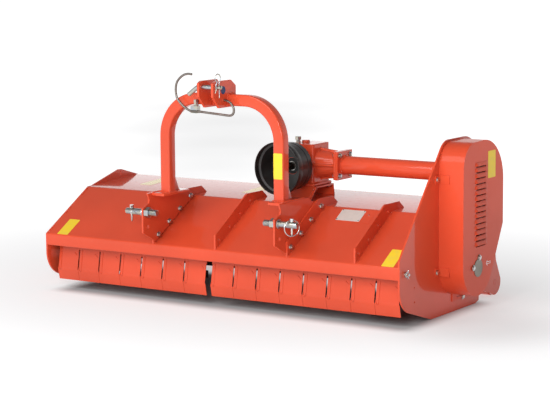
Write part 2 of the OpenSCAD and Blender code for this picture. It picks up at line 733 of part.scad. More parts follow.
// Outside of the casting; its pieces reach into each other by the depth of a joint
module gearbox_shape() {
    r = 12;
    joint = 1;
    hump_r = 18;
    cover_r = 56;
    translate([input_x, (box_y0 + box_y1) / 2, box_z0 - joint]) linear_extrude(box_top_z - box_z0 + joint) {
        square([box_w, box_y1 - box_y0 - 2 * r], center = true);
        square([box_w - 2 * r, box_y1 - box_y0], center = true);
        for (i = [-1, 1], j = [-1, 1]) translate([i * (box_w / 2 - r), j * ((box_y1 - box_y0) / 2 - r)])
            circle(r = r);
    }
    block([box_left - 10, ped_y[0], pedestal_z], [box_right + 10, ped_y[1], box_z0]);
    rod_y(box_y0 - boss_len, box_y0 + joint, input_x, drive_z, boss_r);
    translate([box_right - joint, drive_y, drive_z]) {
        rotate([0, 90, 0]) cylinder(h = neck_len + 2 * joint, r1 = box_front - 8, r2 = flange_w / 2 - 14);
        for (a = [0 : 90 : 270]) rotate([a, 0, 0]) along_y(-cast_wall / 2, cast_wall / 2)
            polygon([[0, bearing_r + 5], [0, box_front], [neck_len + 2 * joint, flange_w / 2 - 3],
                [neck_len + 2 * joint, bearing_r + 5]]);
    }
    block([flange_x, drive_y - flange_w / 2, drive_z - flange_w / 2],
        [flange_x + flange_t, drive_y + flange_w / 2, drive_z + flange_w / 2]);
    rod_z(box_top_z - joint, box_top_z + 11, input_x - 16, drive_y, hump_r);
    rod_x(box_left - 10, box_left + joint, drive_y, drive_z, cover_r);
    rod_y(box_y1 - joint, box_y1 + 8, input_x, drive_z, cover_r);
}

module gearbox_housing() {
    color(paint) difference() {
        gearbox_shape();
        block([box_left + cast_wall, box_y0 + cast_wall, box_z0 + cast_wall],
            [box_right - cast_wall, box_y1 - cast_wall, box_top_z - cast_wall]);
        rod_y(box_y0 - boss_len - 1, box_y0 + cast_wall + 1, input_x, drive_z, bearing_r);
        rod_x(box_right - cast_wall - 1, flange_x + flange_t + 1, drive_y, drive_z, bearing_r);
        for (i = [-1, 1], j = [-1, 1]) rod_x(flange_x - 1, flange_x + flange_t + 1,
            drive_y + i * flange_pitch / 2,
            drive_z + j * flange_pitch / 2, flange_bolt_r + bolt_fit);
    }
}

module gearbox_plugs() {
    plug = [input_x - 34, drive_y - 35];
    color(zinc) {
        rod_z(box_top_z, box_top_z + 10, plug[0], plug[1], 11);
        translate([plug[0], plug[1], box_top_z + 10]) cylinder(h = 8, r = 8);
        translate([plug[0], plug[1], box_top_z + 14]) cylinder(h = 14, d = 30, $fn = 6);
        translate([box_left - 14, drive_y + 40, box_z0 + 20])
            rotate([0, 90, 0]) cylinder(h = 14, d = 20, $fn = 6);
    }
}

module gearbox_bolts() {
    foot_inset = 20;
    color(zinc) {
        for (i = [-1, 1], j = [-1, 1]) translate([flange_x, drive_y + i * flange_pitch / 2,
            drive_z + j * flange_pitch / 2]) rotate([0, 90, 0]) bolt(flange_bolt_r, 2 * flange_t);
        for (i = [-1, 1], y = [ped_y[0] + foot_inset, ped_y[1] - foot_inset])
            translate([input_x + i * (box_w / 2 + 3), y, pedestal_z - rib_t - 6])
                cylinder(h = 6, d = 18, $fn = 6);
        for (a = [30 : 60 : 330]) {
            translate([box_left - 10, drive_y + 46 * cos(a), drive_z + 46 * sin(a)]) rotate([0, -90, 0])
                cylinder(h = 6, d = 15, $fn = 6);
            translate([input_x + 46 * cos(a), box_y1 + 8, drive_z + 46 * sin(a)]) rotate([-90, 0, 0])
                cylinder(h = 6, d = 15, $fn = 6);
        }
    }
}

module ring_y(y0, y1, r, hole_r) {
    difference() {
        rod_y(y0, y1, input_x, drive_z, r);
        rod_y(y0 - 1, y1 + 1, input_x, drive_z, hole_r);
    }
}

module drive_bearings() {
    color(steel) {
        ring_y(box_y0 - boss_len, box_y0 - boss_len + bearing_w, bearing_r, shaft_r + run_fit);
        ring_y(box_y0 - bearing_w, box_y0, bearing_r, shaft_r + run_fit);
        ring_x(box_right, box_right + bearing_w, drive_y, drive_z, bearing_r, shaft_r + run_fit);
        ring_x(flange_x - bearing_w, flange_x, drive_y, drive_z, bearing_r, shaft_r + run_fit);
        ring_x(plate_in - bearing_w, plate_in, drive_y, drive_z, cross_r - cross_wall, shaft_r + run_fit);
    }
}

module cross_tube() {
    color(paint) difference() {
        union() {
            rod_x(tube_flange_x, plate_in, drive_y, drive_z, cross_r);
            block([tube_flange_x, drive_y - flange_w / 2, drive_z - flange_w / 2],
                [tube_flange_x + flange_t, drive_y + flange_w / 2, drive_z + flange_w / 2]);
        }
        rod_x(tube_flange_x - 1, plate_in + 1, drive_y, drive_z, cross_r - cross_wall);
        for (i = [-1, 1], j = [-1, 1]) rod_x(tube_flange_x - 1, tube_flange_x + flange_t + 1,
            drive_y + i * flange_pitch / 2, drive_z + j * flange_pitch / 2, flange_bolt_r + bolt_fit);
    }
}

module pto_guard() {
    lip = 10;
    hole_r = bearing_r + 6;
    color(black) translate([input_x, guard_mouth_y, drive_z]) rotate([-90, 0, 0]) rotate_extrude()
        polygon([[guard_r + lip, 0], [guard_r + lip, guard_ring], [guard_r, guard_ring + 4], [guard_r,
            guard_depth],
            [hole_r, guard_depth], [hole_r, guard_depth - guard_wall],
            [guard_r - guard_wall, guard_depth - guard_wall],
            [guard_r - guard_wall, guard_ring], [guard_r + lip - guard_wall, guard_ring - guard_wall],
            [guard_r + lip - guard_wall, 0]]);
}

module cover_tab(t) {
    block([plate_out + tab_t, t[0] - tab_t, t[1] - tab_h / 2],
        [plate_out + tab_depth, t[0] + cover_t, t[1] + tab_h / 2]);
    block([plate_out, t[0] - tab_reach, t[1] - tab_h / 2], [plate_out + tab_t, t[0], t[1] + tab_h / 2]);
}

module belt_cover() {
    louvre = [450, 544];
    louvre_z = 286;
    slot_h = 7;
    hood = 5;
    color(paint_dark) difference() {
        union() {
            along_x(plate_out, cover_x) polygon(cover_outline(0));
            for (t = tabs) cover_tab(t);
            block([plate_out, foot_tab[0][0], foot_tab[0][1]], [plate_out + tab_t, foot_tab[1][0],
                foot_tab[1][1]]);
            block([plate_out, foot_tab[0][0], foot_tab[1][1]], [plate_out + tab_t, foot_tab[0][0] + 40,
                90]);
            for (i = [0 : louvres - 1]) along_y(louvre[0], louvre[1])
                translate([0, louvre_z + i * louvre_pitch])
                polygon([[cover_x, slot_h], [cover_x + hood, slot_h], [cover_x, slot_h + 12]]);
        }
        along_x(plate_out - 1, cover_x - cover_t) polygon(cover_outline(cover_t));
        for (i = [0 : louvres - 1]) block([cover_x - cover_t - 1, louvre[0] + 2,
            louvre_z + i * louvre_pitch],
            [cover_x + 1, louvre[1] - 2, louvre_z + i * louvre_pitch + slot_h]);
        rod_x(cover_x - cover_t - 1, cover_x + 1, view_c[0], view_c[1], view_hole_r);
        for (t = tabs) rod_x(plate_out - 1, plate_out + tab_t + 1, t[0] - tab_bolt_in, t[1],
            bolt_r + bolt_fit);
        for (p = [view_pivot, view_lock]) rod_x(cover_x - cover_t - 1, cover_x + 1, p[0], p[1],
            view_bolt_r);
        rod_x(plate_out - 1, plate_out + tab_t + 1, foot_tab_bolt_y, foot_tab_bolt_z, plate_hole_r);
    }
}

module cover_bolts() {
    color(zinc) {
        for (t = tabs) translate([plate_out + tab_t, t[0] - tab_bolt_in, t[1]]) rotate([0, -90, 0])
            bolt(bolt_r, plate_t + tab_t);
        translate([plate_out + tab_t, foot_tab_bolt_y, foot_tab_bolt_z])
            rotate([0, -90, 0]) bolt(plate_hole_r, plate_t + tab_t);
        for (p = [view_pivot, view_lock]) {
            rod_x(cover_x - cover_t, cover_x + view_t + pass_gap, p[0], p[1], view_bolt_r);
            translate([cover_x + view_t + pass_gap, p[0], p[1]])
                rotate([0, 90, 0]) cylinder(h = 6, d = 18, $fn = 6);
            translate([cover_x - cover_t - 6, p[0], p[1]]) rotate([0, 90, 0])
                cylinder(h = 6, d = 18, $fn = 6);
        }
        for (y = arm_slots) {
            translate([plate_out, y, arm_bolt_z]) rotate([0, -90, 0]) bolt(arm_bolt_r,
                plate_t + arm_sheet);
            translate([-plate_out, y, arm_bolt_z]) rotate([0, 90, 0]) bolt(arm_bolt_r,
                plate_t + arm_sheet);
        }
    }
}

module bearing_housing() {
    flange = 12;
    difference() {
        union() {
            block([0, -bearing_flange / 2, -bearing_flange / 2], [flange, bearing_flange / 2,
                bearing_flange / 2]);
            translate([flange, 0, 0]) rotate([0, 90, 0]) cylinder(h = bearing_depth - flange, r1 = 50,
                r2 = 44);
        }
        rod_x(-1, bearing_depth + 1, 0, 0, rotor_shaft_r + run_fit);
    }
    for (i = [-1, 1], j = [-1, 1]) translate([flange, i * (bearing_flange / 2 - 16),
        j * (bearing_flange / 2 - 16)])
        rotate([0, 90, 0]) cylinder(h = 9, d = 22, $fn = 6);
}

module rotor_bearings() {
    color(steel) {
        translate([-plate_out, rotor_y, rotor_z]) rotate([0, 0, 180]) bearing_housing();
        translate([plate_in, rotor_y, rotor_z]) rotate([0, 0, 180]) bearing_housing();
    }
}

module flap_rod() {
    end = plate_out + 20;
    color(zinc) {
        rod_x(-end, end, rod_y0, rod_z0, rod_r);
        for (x = [-plate_out - 8, plate_out]) rod_x(x, x + 8, rod_y0, rod_z0, rod_r + 6);
        for (x = [-plate_out - 13, plate_out + 13]) rod_z(rod_z0 - 20, rod_z0 + 20, x, rod_y0, 1.8);
    }
}

module rear_curtain() {
    side_gap = 17;
    low_z = 42;
    overlap = 20;
    color(rubber) block([-plate_in + side_gap, deck_rear_y, low_z], [plate_in - side_gap,
        deck_rear_y + 5, rear_edge_z + overlap]);
}

module slot_x(x0, x1, y, z0, z1, r) {
    block([x0, y - r, z0], [x1, y + r, z1]);
    rod_x(x0, x1, y, z0, r);
    rod_x(x0, x1, y, z1, r);
}

module roller_arm() {
    r = arm_bolt_r + pass_gap;
    difference() {
        union() {
            along_x(arm_x0, plate_in) polygon(arm_outline);
            rod_x(arm_x0 - boss[1], arm_x0, roller_y, roller_z, boss[0]);
        }
        for (y = arm_slots) slot_x(arm_x0 - 1, plate_in + 1, y, arm_bolt_z - roller_up,
            arm_bolt_z + roller_down, r);
        rod_x(arm_x0 - boss[1] - 1, plate_in + 1, roller_y, roller_z, axle_r + run_fit);
    }
}

module roller_arms() {
    color(paint_dark) {
        roller_arm();
        mirror_x(0) roller_arm();
    }
}

module roller() {
    end = arm_x0 - boss[1] - 2;
    wall = 6;
    color(paint_dark) {
        difference() {
            rod_x(-end, end, roller_y, roller_z, roller_r);
            rod_x(-end + wall, end - wall, roller_y, roller_z, roller_r - wall);
        }
        rod_x(end - wall, plate_in, roller_y, roller_z, axle_r);
        rod_x(-plate_in, -end + wall, roller_y, roller_z, axle_r);
    }
}

module at_hammer(i) {
    translate([hammer_x(i), rotor_y, rotor_z]) rotate([hammer_turn * i, 0, 0]) children();
}

module rotor_tube() {
    wall = 8;
    color(paint_dark) {
        difference() {
            rod_x(rotor_x[0], rotor_x[1], rotor_y, rotor_z, rotor_r);
            rod_x(rotor_x[0] + wall, rotor_x[1] - wall, rotor_y, rotor_z, rotor_r - wall);
        }
        rod_x(-plate_out - bearing_depth - 6, rotor_x[0] + wall, rotor_y, rotor_z, rotor_shaft_r);
        rod_x(rotor_x[1] - wall, belt_x + pulley_w / 2 + 6, rotor_y, rotor_z, rotor_shaft_r);
        for (i = [0 : hammers_n - 1], s = [-1, 1]) at_hammer(i) difference() {
            x = s * (hammer_neck / 2 + pass_gap + lug_t / 2);
            union() {
                block([x - lug_t / 2, -16, rotor_r - 6], [x + lug_t / 2, 16, hammer_pin]);
                rod_x(x - lug_t / 2, x + lug_t / 2, 0, hammer_pin, 16);
            }
            rod_x(x - lug_t, x + lug_t, 0, hammer_pin, 7 + bolt_fit);
        }
    }
}

module hammers() {
    top = sqrt(sweep_r * sweep_r - hammer_t * hammer_t / 4);
    color(steel) for (i = [0 : hammers_n - 1]) at_hammer(i) {
        block([-hammer_neck / 2, -12, rotor_r + 14], [hammer_neck / 2, 12, top - 30]);
        block([-hammer_w / 2, -hammer_t / 2, top - 34], [hammer_w / 2, hammer_t / 2, top]);
        rod_x(-24, 24, 0, hammer_pin, 7);
    }
}

// Grooved pulley about X, centred on its width
module pulley(r, hole_r) {
    half = belt_top_w / 2 + pass_gap;
    low_half = half - (belt_over + belt_under + belt_fit) * tan(belt_angle);
    rotate([0, 90, 0]) rotate_extrude() polygon(concat(
        [[hole_r, pulley_w / 2], [hole_r, -pulley_w / 2], [r + belt_over, -pulley_w / 2]],
        [for (j = [0 : belts - 1], p = [[belt_over, -half], [-belt_under - belt_fit, -low_half],
            [-belt_under - belt_fit, low_half], [belt_over, half]])
            [r + p[0], (j - (belts - 1) / 2) * belt_pitch + p[1]]],
        [[r + belt_over, pulley_w / 2]]));
}

module rotor_pulley() { color(steel) translate([belt_x, rotor_y, rotor_z]) pulley(rotor_pulley_r,
    rotor_shaft_r); }
module drive_pulley() { color(steel) translate([belt_x, drive_y, drive_z]) pulley(drive_pulley_r,
    shaft_r); }

module input_shaft() {
    color(steel) difference() {
        union() {
            rod_y(input_tip_y, box_y0 - boss_len - 2, input_x, drive_z, spline_r);
            rod_y(box_y0 - boss_len - 2, drive_y - gear_m * gear_teeth[1] / 2, input_x, drive_z, shaft_r);
        }
        for (i = [0 : spline_n - 1]) translate([input_x, input_tip_y - 1, drive_z])
            rotate([0, 360 / spline_n * i, 0])
            block([spline_core_r, 0, -4.2], [spline_r + 2, box_y0 - boss_len - input_tip_y - 6, 4.2]);
        difference() {
            rod_y(input_tip_y + 34, input_tip_y + 42, input_x, drive_z, spline_r + 2);
            rod_y(input_tip_y + 33, input_tip_y + 43, input_x, drive_z, spline_core_r);
        }
    }
}

module output_shaft() {
    color(steel) rod_x(input_x + gear_m * gear_teeth[0] / 2 - 20, belt_x + pulley_w / 2 + 6, drive_y,
        drive_z, shaft_r - 3);
    color(steel) rod_x(box_right, belt_x + pulley_w / 2, drive_y, drive_z, shaft_r);
}

// Straight bevel gear on +Z, its apex at the origin and its large end at z = -far
module bevel(n, far, first) {
    pitch_angle = atan(gear_m * n / 2 / far);
    tip = far * tan(pitch_angle + atan(gear_m / gear_cone));
    root = far * tan(pitch_angle - atan(1.25 * gear_m / gear_cone));
    step = 360 / n;
    shrink = (gear_cone - gear_face) / gear_cone;
    intersection() {
        translate([0, 0, -far]) linear_extrude(far * (1 - shrink), scale = shrink)
            polygon([for (i = [0 : n - 1], k = [[root, -0.29], [tip, -0.10], [tip, 0.10], [root, 0.29]])
                k[0] * [cos((i + first + k[1]) * step), sin((i + first + k[1]) * step)]]);
        translate([0, 0, -far]) cylinder(h = far, r = gear_m * n / 2 + gear_m * cos(pitch_angle));
    }
}

module input_gear() {
    far = gear_m * gear_teeth[1] / 2;
    color(steel) translate([input_x, drive_y, drive_z]) rotate([-90, 0, 0]) {
        bevel(gear_teeth[0], far, 0);
        difference() {
            translate([0, 0, -far - 8]) cylinder(h = 8, r = gear_m * gear_teeth[0] / 2 - 10);
            translate([0, 0, -far - 9]) cylinder(h = 9, r = shaft_r);
        }
    }
}

module output_gear() {
    far = gear_m * gear_teeth[0] / 2;
    color(steel) translate([input_x, drive_y, drive_z]) rotate([0, -90, 0]) difference() {
        bevel(gear_teeth[1], far, 0.5);
        translate([0, 0, -far - 1]) cylinder(h = far, r = shaft_r - 3);
    }
}

// One belt: a ring of four-cornered sections round both pulleys
module v_belt(x) {
    half = belt_top_w / 2;
    low_half = half - (belt_over + belt_under) * tan(belt_angle);
    turns = concat(
        [for (i = [0 : belt_steps]) [drive_c, drive_pulley_r,
            belt_dir + belt_wrap + i * (360 - 2 * belt_wrap) / belt_steps]],
        [for (i = [0 : belt_steps]) [rotor_c, rotor_pulley_r,
            belt_dir - belt_wrap + i * 2 * belt_wrap / belt_steps]]);
    n = len(turns);
    section = [[belt_over, half], [belt_over, -half], [-belt_under, -low_half], [-belt_under, low_half]];
    points = [for (t = turns, s = section) let (q = t[0] + (t[1] + s[0]) * [cos(t[2]), sin(t[2])])
        [x + s[1], q[0], q[1]]];
    faces = [for (i = [0 : n - 1], k = [0 : 3], h = [0, 1]) let (a = 4 * i + k, b = 4 * i + (k + 1) % 4,
        c = 4 * ((i + 1) % n) + k, d = 4 * ((i + 1) % n) + (k + 1) % 4) h == 0 ? [a, b, d] : [a, d, c]];
    polyhedron(points, faces);
}

module v_belts() {
    color(rubber) for (j = [0 : belts - 1]) v_belt(belt_x + (j - (belts - 1) / 2) * belt_pitch);
}

module tensioner_arm() {
    reach = belt_x + pulley_w / 2;
    d = tension_pivot - idler_c;
    color(steel) {
        translate([arm_x, idler_c[0], idler_c[1]]) rotate([atan2(-d[0], d[1]), 0, 0])
            block([0, -14, 0], [arm_t, 14, norm(d)]);
        rod_x(arm_x, arm_x + arm_t, tension_pivot[0], tension_pivot[1], 18);
        rod_x(arm_x, arm_x + arm_t, idler_c[0], idler_c[1], 18);
        rod_x(plate_in - 6, arm_x + arm_t + 6, tension_pivot[0], tension_pivot[1], pivot_r);
        rod_x(plate_in - 10, plate_in, tension_pivot[0], tension_pivot[1], pivot_r + 5);
        rod_x(arm_x, reach, idler_c[0], idler_c[1], pivot_r);
        rod_x(reach, reach + 6, idler_c[0], idler_c[1], pivot_r + 5);
    }
}

module idler_pulley() {
    color(steel) ring_x(belt_x - pulley_w / 2, belt_x + pulley_w / 2, idler_c[0], idler_c[1], idler_r,
        pivot_r + run_fit);
}

module top_pin() {
    bend_x = ear_left_x - clevis_t - 12;
    color(zinc) {
        difference() {
            rod_x(bend_x, pin_tip_x, -top_pin_fwd, top_pin_z, top_pin_r);
            rod_z(top_pin_z - 20, top_pin_z + 20, clip_x, -top_pin_fwd, clip_wire_r + run_fit);
        }
        translate([bend_x, -top_pin_fwd, top_pin_z]) sphere(r = top_pin_r);
        translate([bend_x, -top_pin_fwd, top_pin_z]) rotate([0, -126, 0]) cylinder(h = 57, r = top_pin_r);
    }
}

module top_pin_clip() {
    color(zinc) translate([clip_x, -top_pin_fwd, top_pin_z]) rotate([0, 0, clip_turn])
        wire(clip_route, clip_wire_r);
}

// Lynch pin, its ring's hole turned about the pin's own axis
module lynch_pin(x, turn) {
    color(zinc) translate([x, -low_pin_fwd, low_pin_z]) rotate([0, 0, turn]) {
        rod_z(-lynch_tip + 6, lynch_head_z[0] + 1, 0, 0, lynch_r);
        translate([0, 0, -lynch_tip]) cylinder(h = 6, r1 = lynch_r - 2, r2 = lynch_r);
        difference() {
            rod_z(lynch_head_z[0], lynch_head_z[1], 0, 0, lynch_head_r);
            rod_x(-lynch_head_r - 1, lynch_head_r + 1, 0, ring_hinge_up, ring_hole_r);
        }
    }
}

module lynch_pin_left() { lynch_pin(lynch_left_x, -ring_turn); }
module lynch_pin_right() { lynch_pin(lynch_right_x, ring_turn); }

// Ring closed round the hitch pin, its lower side under the lynch pin's tip
module lynch_ring(x, turn) {
    color(zinc) translate([x, -low_pin_fwd, low_pin_z + ring_hinge_up - ring_r]) rotate([90, 0, turn])
        rotate_extrude() translate([ring_r, 0]) circle(r = ring_wire_r);
}

module lynch_ring_left() { lynch_ring(lynch_left_x, -ring_turn); }
module lynch_ring_right() { lynch_ring(lynch_right_x, ring_turn); }

module inspection_plate() {
    ear_r = 13;
    d = view_pivot - view_c;
    color(steel) difference() {
        union() {
            rod_x(cover_x, cover_x + view_t, view_c[0], view_c[1], view_r);
            rod_x(cover_x, cover_x + view_t, view_pivot[0], view_pivot[1], ear_r);
            translate([cover_x, view_c[0], view_c[1]]) rotate([atan2(-d[0], d[1]), 0, 0])
                block([0, -ear_r + 1, 0], [view_t, ear_r - 1, norm(d)]);
            rod_x(cover_x, cover_x + view_t, view_lock[0] + 6, view_lock[1], ear_r);
        }
        rod_x(cover_x - 1, cover_x + view_t + 1, view_pivot[0], view_pivot[1], view_bolt_r + run_fit);
        rod_x(cover_x - 1, cover_x + view_t + 1, view_lock[0], view_lock[1], view_bolt_r + pass_gap);
        block([cover_x - 1, view_lock[0] - 30, view_lock[1] - view_bolt_r - 2 * pass_gap],
            [cover_x + view_t + 1, view_lock[0], view_lock[1] + view_bolt_r + 3]);
    }
}

// Hanging flap: sheet with a knuckle at each end, notched where two flaps meet
module flap(i) {
    x0 = flap_x(i) + flap_play / 2;
    x1 = flap_x(i) + flap_pitch - flap_play / 2;
    color(paint) difference() {
        union() {
            along_x(x0, x1) polygon(sheet_outline(flap_path, flap_t));
            for (x = [x0, x1 - knuckle_w]) rod_x(x, x + knuckle_w, rod_y0, rod_z0, knuckle_r);
        }
        rod_x(x0 - 1, x1 + 1, rod_y0, rod_z0, rod_r + run_fit);
        for (x = [x0, x1]) block([x - flap_notch[0], flap_path[2][0] - 15, flap_notch[1]],
            [x + flap_notch[0], flap_path[1][0] + 17, flap_notch[2]]);
    }
}

place() deck_shell();
place() side_plate_left();
place() side_plate_right();
place() deck_ribs();
place() hitch_brackets();
place() bracket_bolts();
place() headstock_arch();
place() clevis_ears();
place() lower_pins();
place() lower_pin_nuts();
place() shaft_hook();
place() hook_clamp();
place() pedestal();
place() gearbox_housing();
place() gearbox_plugs();
place() gearbox_bolts();
place() drive_bearings();
place() cross_tube();
place() pto_guard();
place() belt_cover();
place() cover_bolts();
place() rotor_bearings();
place() flap_rod();
place() rear_curtain();
place() roller_arms();
place() roller();
place() rotor_tube();
place() hammers();
place() rotor_pulley();
place() input_shaft();
place() input_gear();
place() output_shaft();
place() output_gear();
place() drive_pulley();
place() v_belts();
place() tensioner_arm();
place() idler_pulley();
place() top_pin();
place() top_pin_clip();
place() lynch_pin_left();
place() lynch_pin_right();
place() lynch_ring_left();
place() lynch_ring_right();
place() inspection_plate();
for (i = [0 : flaps_n - 1]) place() flap(i);
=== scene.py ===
"""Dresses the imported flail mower: paint, plating, welds, labels and every small piece that the solids
leave plain.

Sizes are written in millimetres in the design frame of part.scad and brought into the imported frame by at().
"""

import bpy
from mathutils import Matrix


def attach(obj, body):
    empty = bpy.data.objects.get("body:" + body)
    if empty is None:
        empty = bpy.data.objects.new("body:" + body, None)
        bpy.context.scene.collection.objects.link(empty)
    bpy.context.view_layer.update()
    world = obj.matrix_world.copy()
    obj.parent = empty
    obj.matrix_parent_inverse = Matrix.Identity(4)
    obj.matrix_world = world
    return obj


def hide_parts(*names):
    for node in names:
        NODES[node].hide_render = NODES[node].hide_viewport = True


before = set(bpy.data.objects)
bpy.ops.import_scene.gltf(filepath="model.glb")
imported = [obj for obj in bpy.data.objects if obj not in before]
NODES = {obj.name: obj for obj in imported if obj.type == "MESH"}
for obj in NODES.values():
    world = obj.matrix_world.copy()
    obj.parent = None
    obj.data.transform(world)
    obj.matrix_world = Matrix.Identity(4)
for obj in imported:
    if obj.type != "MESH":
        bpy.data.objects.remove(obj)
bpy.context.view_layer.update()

import logging
import math
from collections.abc import Iterable, Sequence
from dataclasses import dataclass, field
from enum import Enum

import bmesh
import bpy
from mathutils import Matrix, Vector

log = logging.getLogger("flail_mower")
ORIGIN_MM = (42.5, 422.0, 0.0)
Point = tuple[float, float, float]
Flat = tuple[float, float]
RIGHT, LEFT, BACK, DOWN = (Vector(way) for way in ((1, 0, 0), (-1, 0, 0), (0, 1, 0), (0, 0, -1)))


def at(x: float, y: float, z: float) -> Vector:
    """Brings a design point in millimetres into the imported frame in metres."""
    return Vector(((x - ORIGIN_MM[0]) / 1000, (y - ORIGIN_MM[1]) / 1000, z / 1000))


def span(x: float = 0.0, y: float = 0.0, z: float = 0.0) -> Vector:
    """A step in millimetres, brought to metres."""
    return Vector((x / 1000, y / 1000, z / 1000))


def ray(angle: float) -> Flat:
    """Cosine and sine of an angle in degrees."""
    return math.cos(math.radians(angle)), math.sin(math.radians(angle))


# ---------------------------------------------------------------- shader building

class Wire:
    """One output socket that can be used in sums."""

    def __init__(self, bench: "Bench", socket: bpy.types.NodeSocket) -> None:
        """Keeps the socket and the bench that makes its nodes.

        Args:
            bench: Where new nodes go.
            socket: The output that this wire stands for.
        """
        self.bench = bench
        self.socket = socket

    def maths(self, operation: str, *others: "Wire | float") -> "Wire":
        """Adds one Math node that takes this wire first."""
        return self.bench.add("ShaderNodeMath", {"operation": operation}, dict(enumerate((self, *others))))

    def __add__(self, other: "Wire | float") -> "Wire":
        """Sum."""
        return self.maths("ADD", other)

    __radd__ = __add__

    def __mul__(self, other: "Wire | float") -> "Wire":
        """Product."""
        return self.maths("MULTIPLY", other)

    __rmul__ = __mul__

    def __sub__(self, other: "Wire | float") -> "Wire":
        """Difference."""
        return self.maths("SUBTRACT", other)

    def __rsub__(self, other: float) -> "Wire":
        """Difference with a number in front."""
        return self * -1.0 + other

    def __pow__(self, other: float) -> "Wire":
        """Power."""
        return self.maths("POWER", other)

    def step(self, low: float, high: float) -> "Wire":
        """A smooth rise from 0 to 1 between two values of this wire."""
        return self.bench.add("ShaderNodeMapRange", {"interpolation_type": "SMOOTHSTEP"},
                              {"Value": self, "From Min": low, "From Max": high})


class Bench:
    """Makes nodes in one tree."""

    def __init__(self, tree: bpy.types.NodeTree) -> None:
        """Keeps the tree."""
        self.tree = tree

    def add(self, kind: str, settings: dict | None = None, values: dict | None = None,
            out: int | str = 0) -> Wire:
        """Adds a node, sets it up and feeds its sockets.

        Args:
            kind: The node's type.
            settings: Its properties, set before its sockets.
            values: Socket name or number to a number, a colour or a wire.
            out: The output that is wanted.

        Returns:
            The wire of that output.
        """
        node = self.tree.nodes.new(kind)
        for key, value in (settings or {}).items():
            setattr(node, key, value)
        for key, value in (values or {}).items():
            if isinstance(value, Wire):
                self.tree.links.new(value.socket, node.inputs[key])
            else:
                node.inputs[key].default_value = value
        return Wire(self, node.outputs[out]) if node.outputs else Wire(self, None)

    def split(self, vector: Wire) -> tuple[Wire, ...]:
        """The three numbers of a vector."""
        first = self.add("ShaderNodeSeparateXYZ", {}, {0: vector})
        return tuple(Wire(self, socket) for socket in first.socket.node.outputs)

    def place(self) -> Wire:
        """Object coordinates."""
        return self.add("ShaderNodeTexCoord", out="Object")

    def stretched(self, scale: Point) -> Wire:
        """Object coordinates, scaled unevenly."""
        return self.add("ShaderNodeMapping", {}, {"Vector": self.place(), "Scale": scale})

    def noise(self, scale: float, detail: float = 3.0, where: Wire | None = None) -> Wire:
        """Noise between 0 and 1.

        Args:
            scale: Cells to a metre.
            detail: Octaves.
            where: Coordinates, the object's own by default.

        Returns:
            The noise value.
        """
        return self.add("ShaderNodeTexNoise", {}, {
            "Vector": where or self.place(), "Scale": scale, "Detail": detail}, out="Fac")

    def blend(self, share: Wire | float, first: Wire | Sequence[float],
              second: Wire | Sequence[float]) -> Wire:
        """Mixes two colours by a share of the second."""
        return self.add("ShaderNodeMix", {"data_type": "RGBA"}, {0: share, 6: first, 7: second}, out=2)

    def bump(self, height: Wire, distance: float, strength: float = 1.0, under: Wire | None = None) -> Wire:
        """A bumped normal.

        Args:
            height: Height from 0 to 1.
            distance: Depth of a full height, in metres.
            strength: Share of the effect.
            under: Another bumped normal that this one lies on.

        Returns:
            The normal.
        """
        values = {"Height": height, "Distance": distance, "Strength": strength}
        if under:
            values["Normal"] = under
        return self.add("ShaderNodeBump", {}, values, out="Normal")


def rgb(red: float, green: float, blue: float) -> tuple[float, float, float, float]:
    """A colour with full alpha."""
    return (red, green, blue, 1.0)


@dataclass(frozen=True)
class Finish:
    """A surface finish. Each kind below fills in paint()."""

    name: str

    def paint(self, bench: Bench) -> dict:
        """Sets the finish up.

        Args:
            bench: Where the finish's nodes go.

        Returns:
            Values of the main shader's sockets.
        """
        raise NotImplementedError

    def build(self) -> bpy.types.Material:
        """Makes the finish's material once.

        Returns:
            The material, the same one at each call.
        """
        found = bpy.data.materials.get(self.name)
        if found and found.use_nodes:
            return found
        material = bpy.data.materials.new(self.name)
        material.use_nodes = True
        material.node_tree.nodes.clear()
        bench = Bench(material.node_tree)
        shader = bench.add("ShaderNodeBsdfPrincipled", {}, self.paint(bench))
        bench.add("ShaderNodeOutputMaterial", {}, {"Surface": shader})
        return material


@dataclass(frozen=True)
class Paint(Finish):
    """Glossy machine paint over steel sheet or a casting."""

    colour: Point = (0.69, 0.074, 0.028)
    shade: float = 0.88
    gloss: float = 0.36
    peel: float = 0.00006
    cast: float = 0.0
    coat: float = 1.0
    coat_rough: float = 0.05

    def paint(self, bench: Bench) -> dict:
        """Paint with slow changes of tone, orange peel and fine dust.

        Args:
            bench: Where the finish's nodes go.

        Returns:
            Values of the main shader's sockets.
        """
        deep = tuple(self.shade * part for part in self.colour)
        tone = bench.noise(2.6, 2.0).step(0.3, 0.7)
        dust = bench.noise(38.0, 5.0).step(0.46, 0.82)
        fine = bench.noise(420.0, 2.0)
        base = bench.blend(tone, rgb(*self.colour), rgb(*deep))
        base = bench.blend(dust * 0.03, base, rgb(0.60, 0.26, 0.16))
        rough = dust * 0.10 + self.gloss
        normal = bench.bump(fine, self.peel, 0.5)
        if self.cast:
            skin = bench.noise(190.0, 4.0) * 0.7 + bench.noise(34.0, 2.0)
            normal = bench.bump(skin, self.cast, 0.7, normal)
        return {"Base Color": base, "Roughness": rough, "Normal": normal, "Coat Weight": self.coat,
                "Coat IOR": 1.32, "Coat Roughness": self.coat_rough, "Specular IOR Level": 0.12}


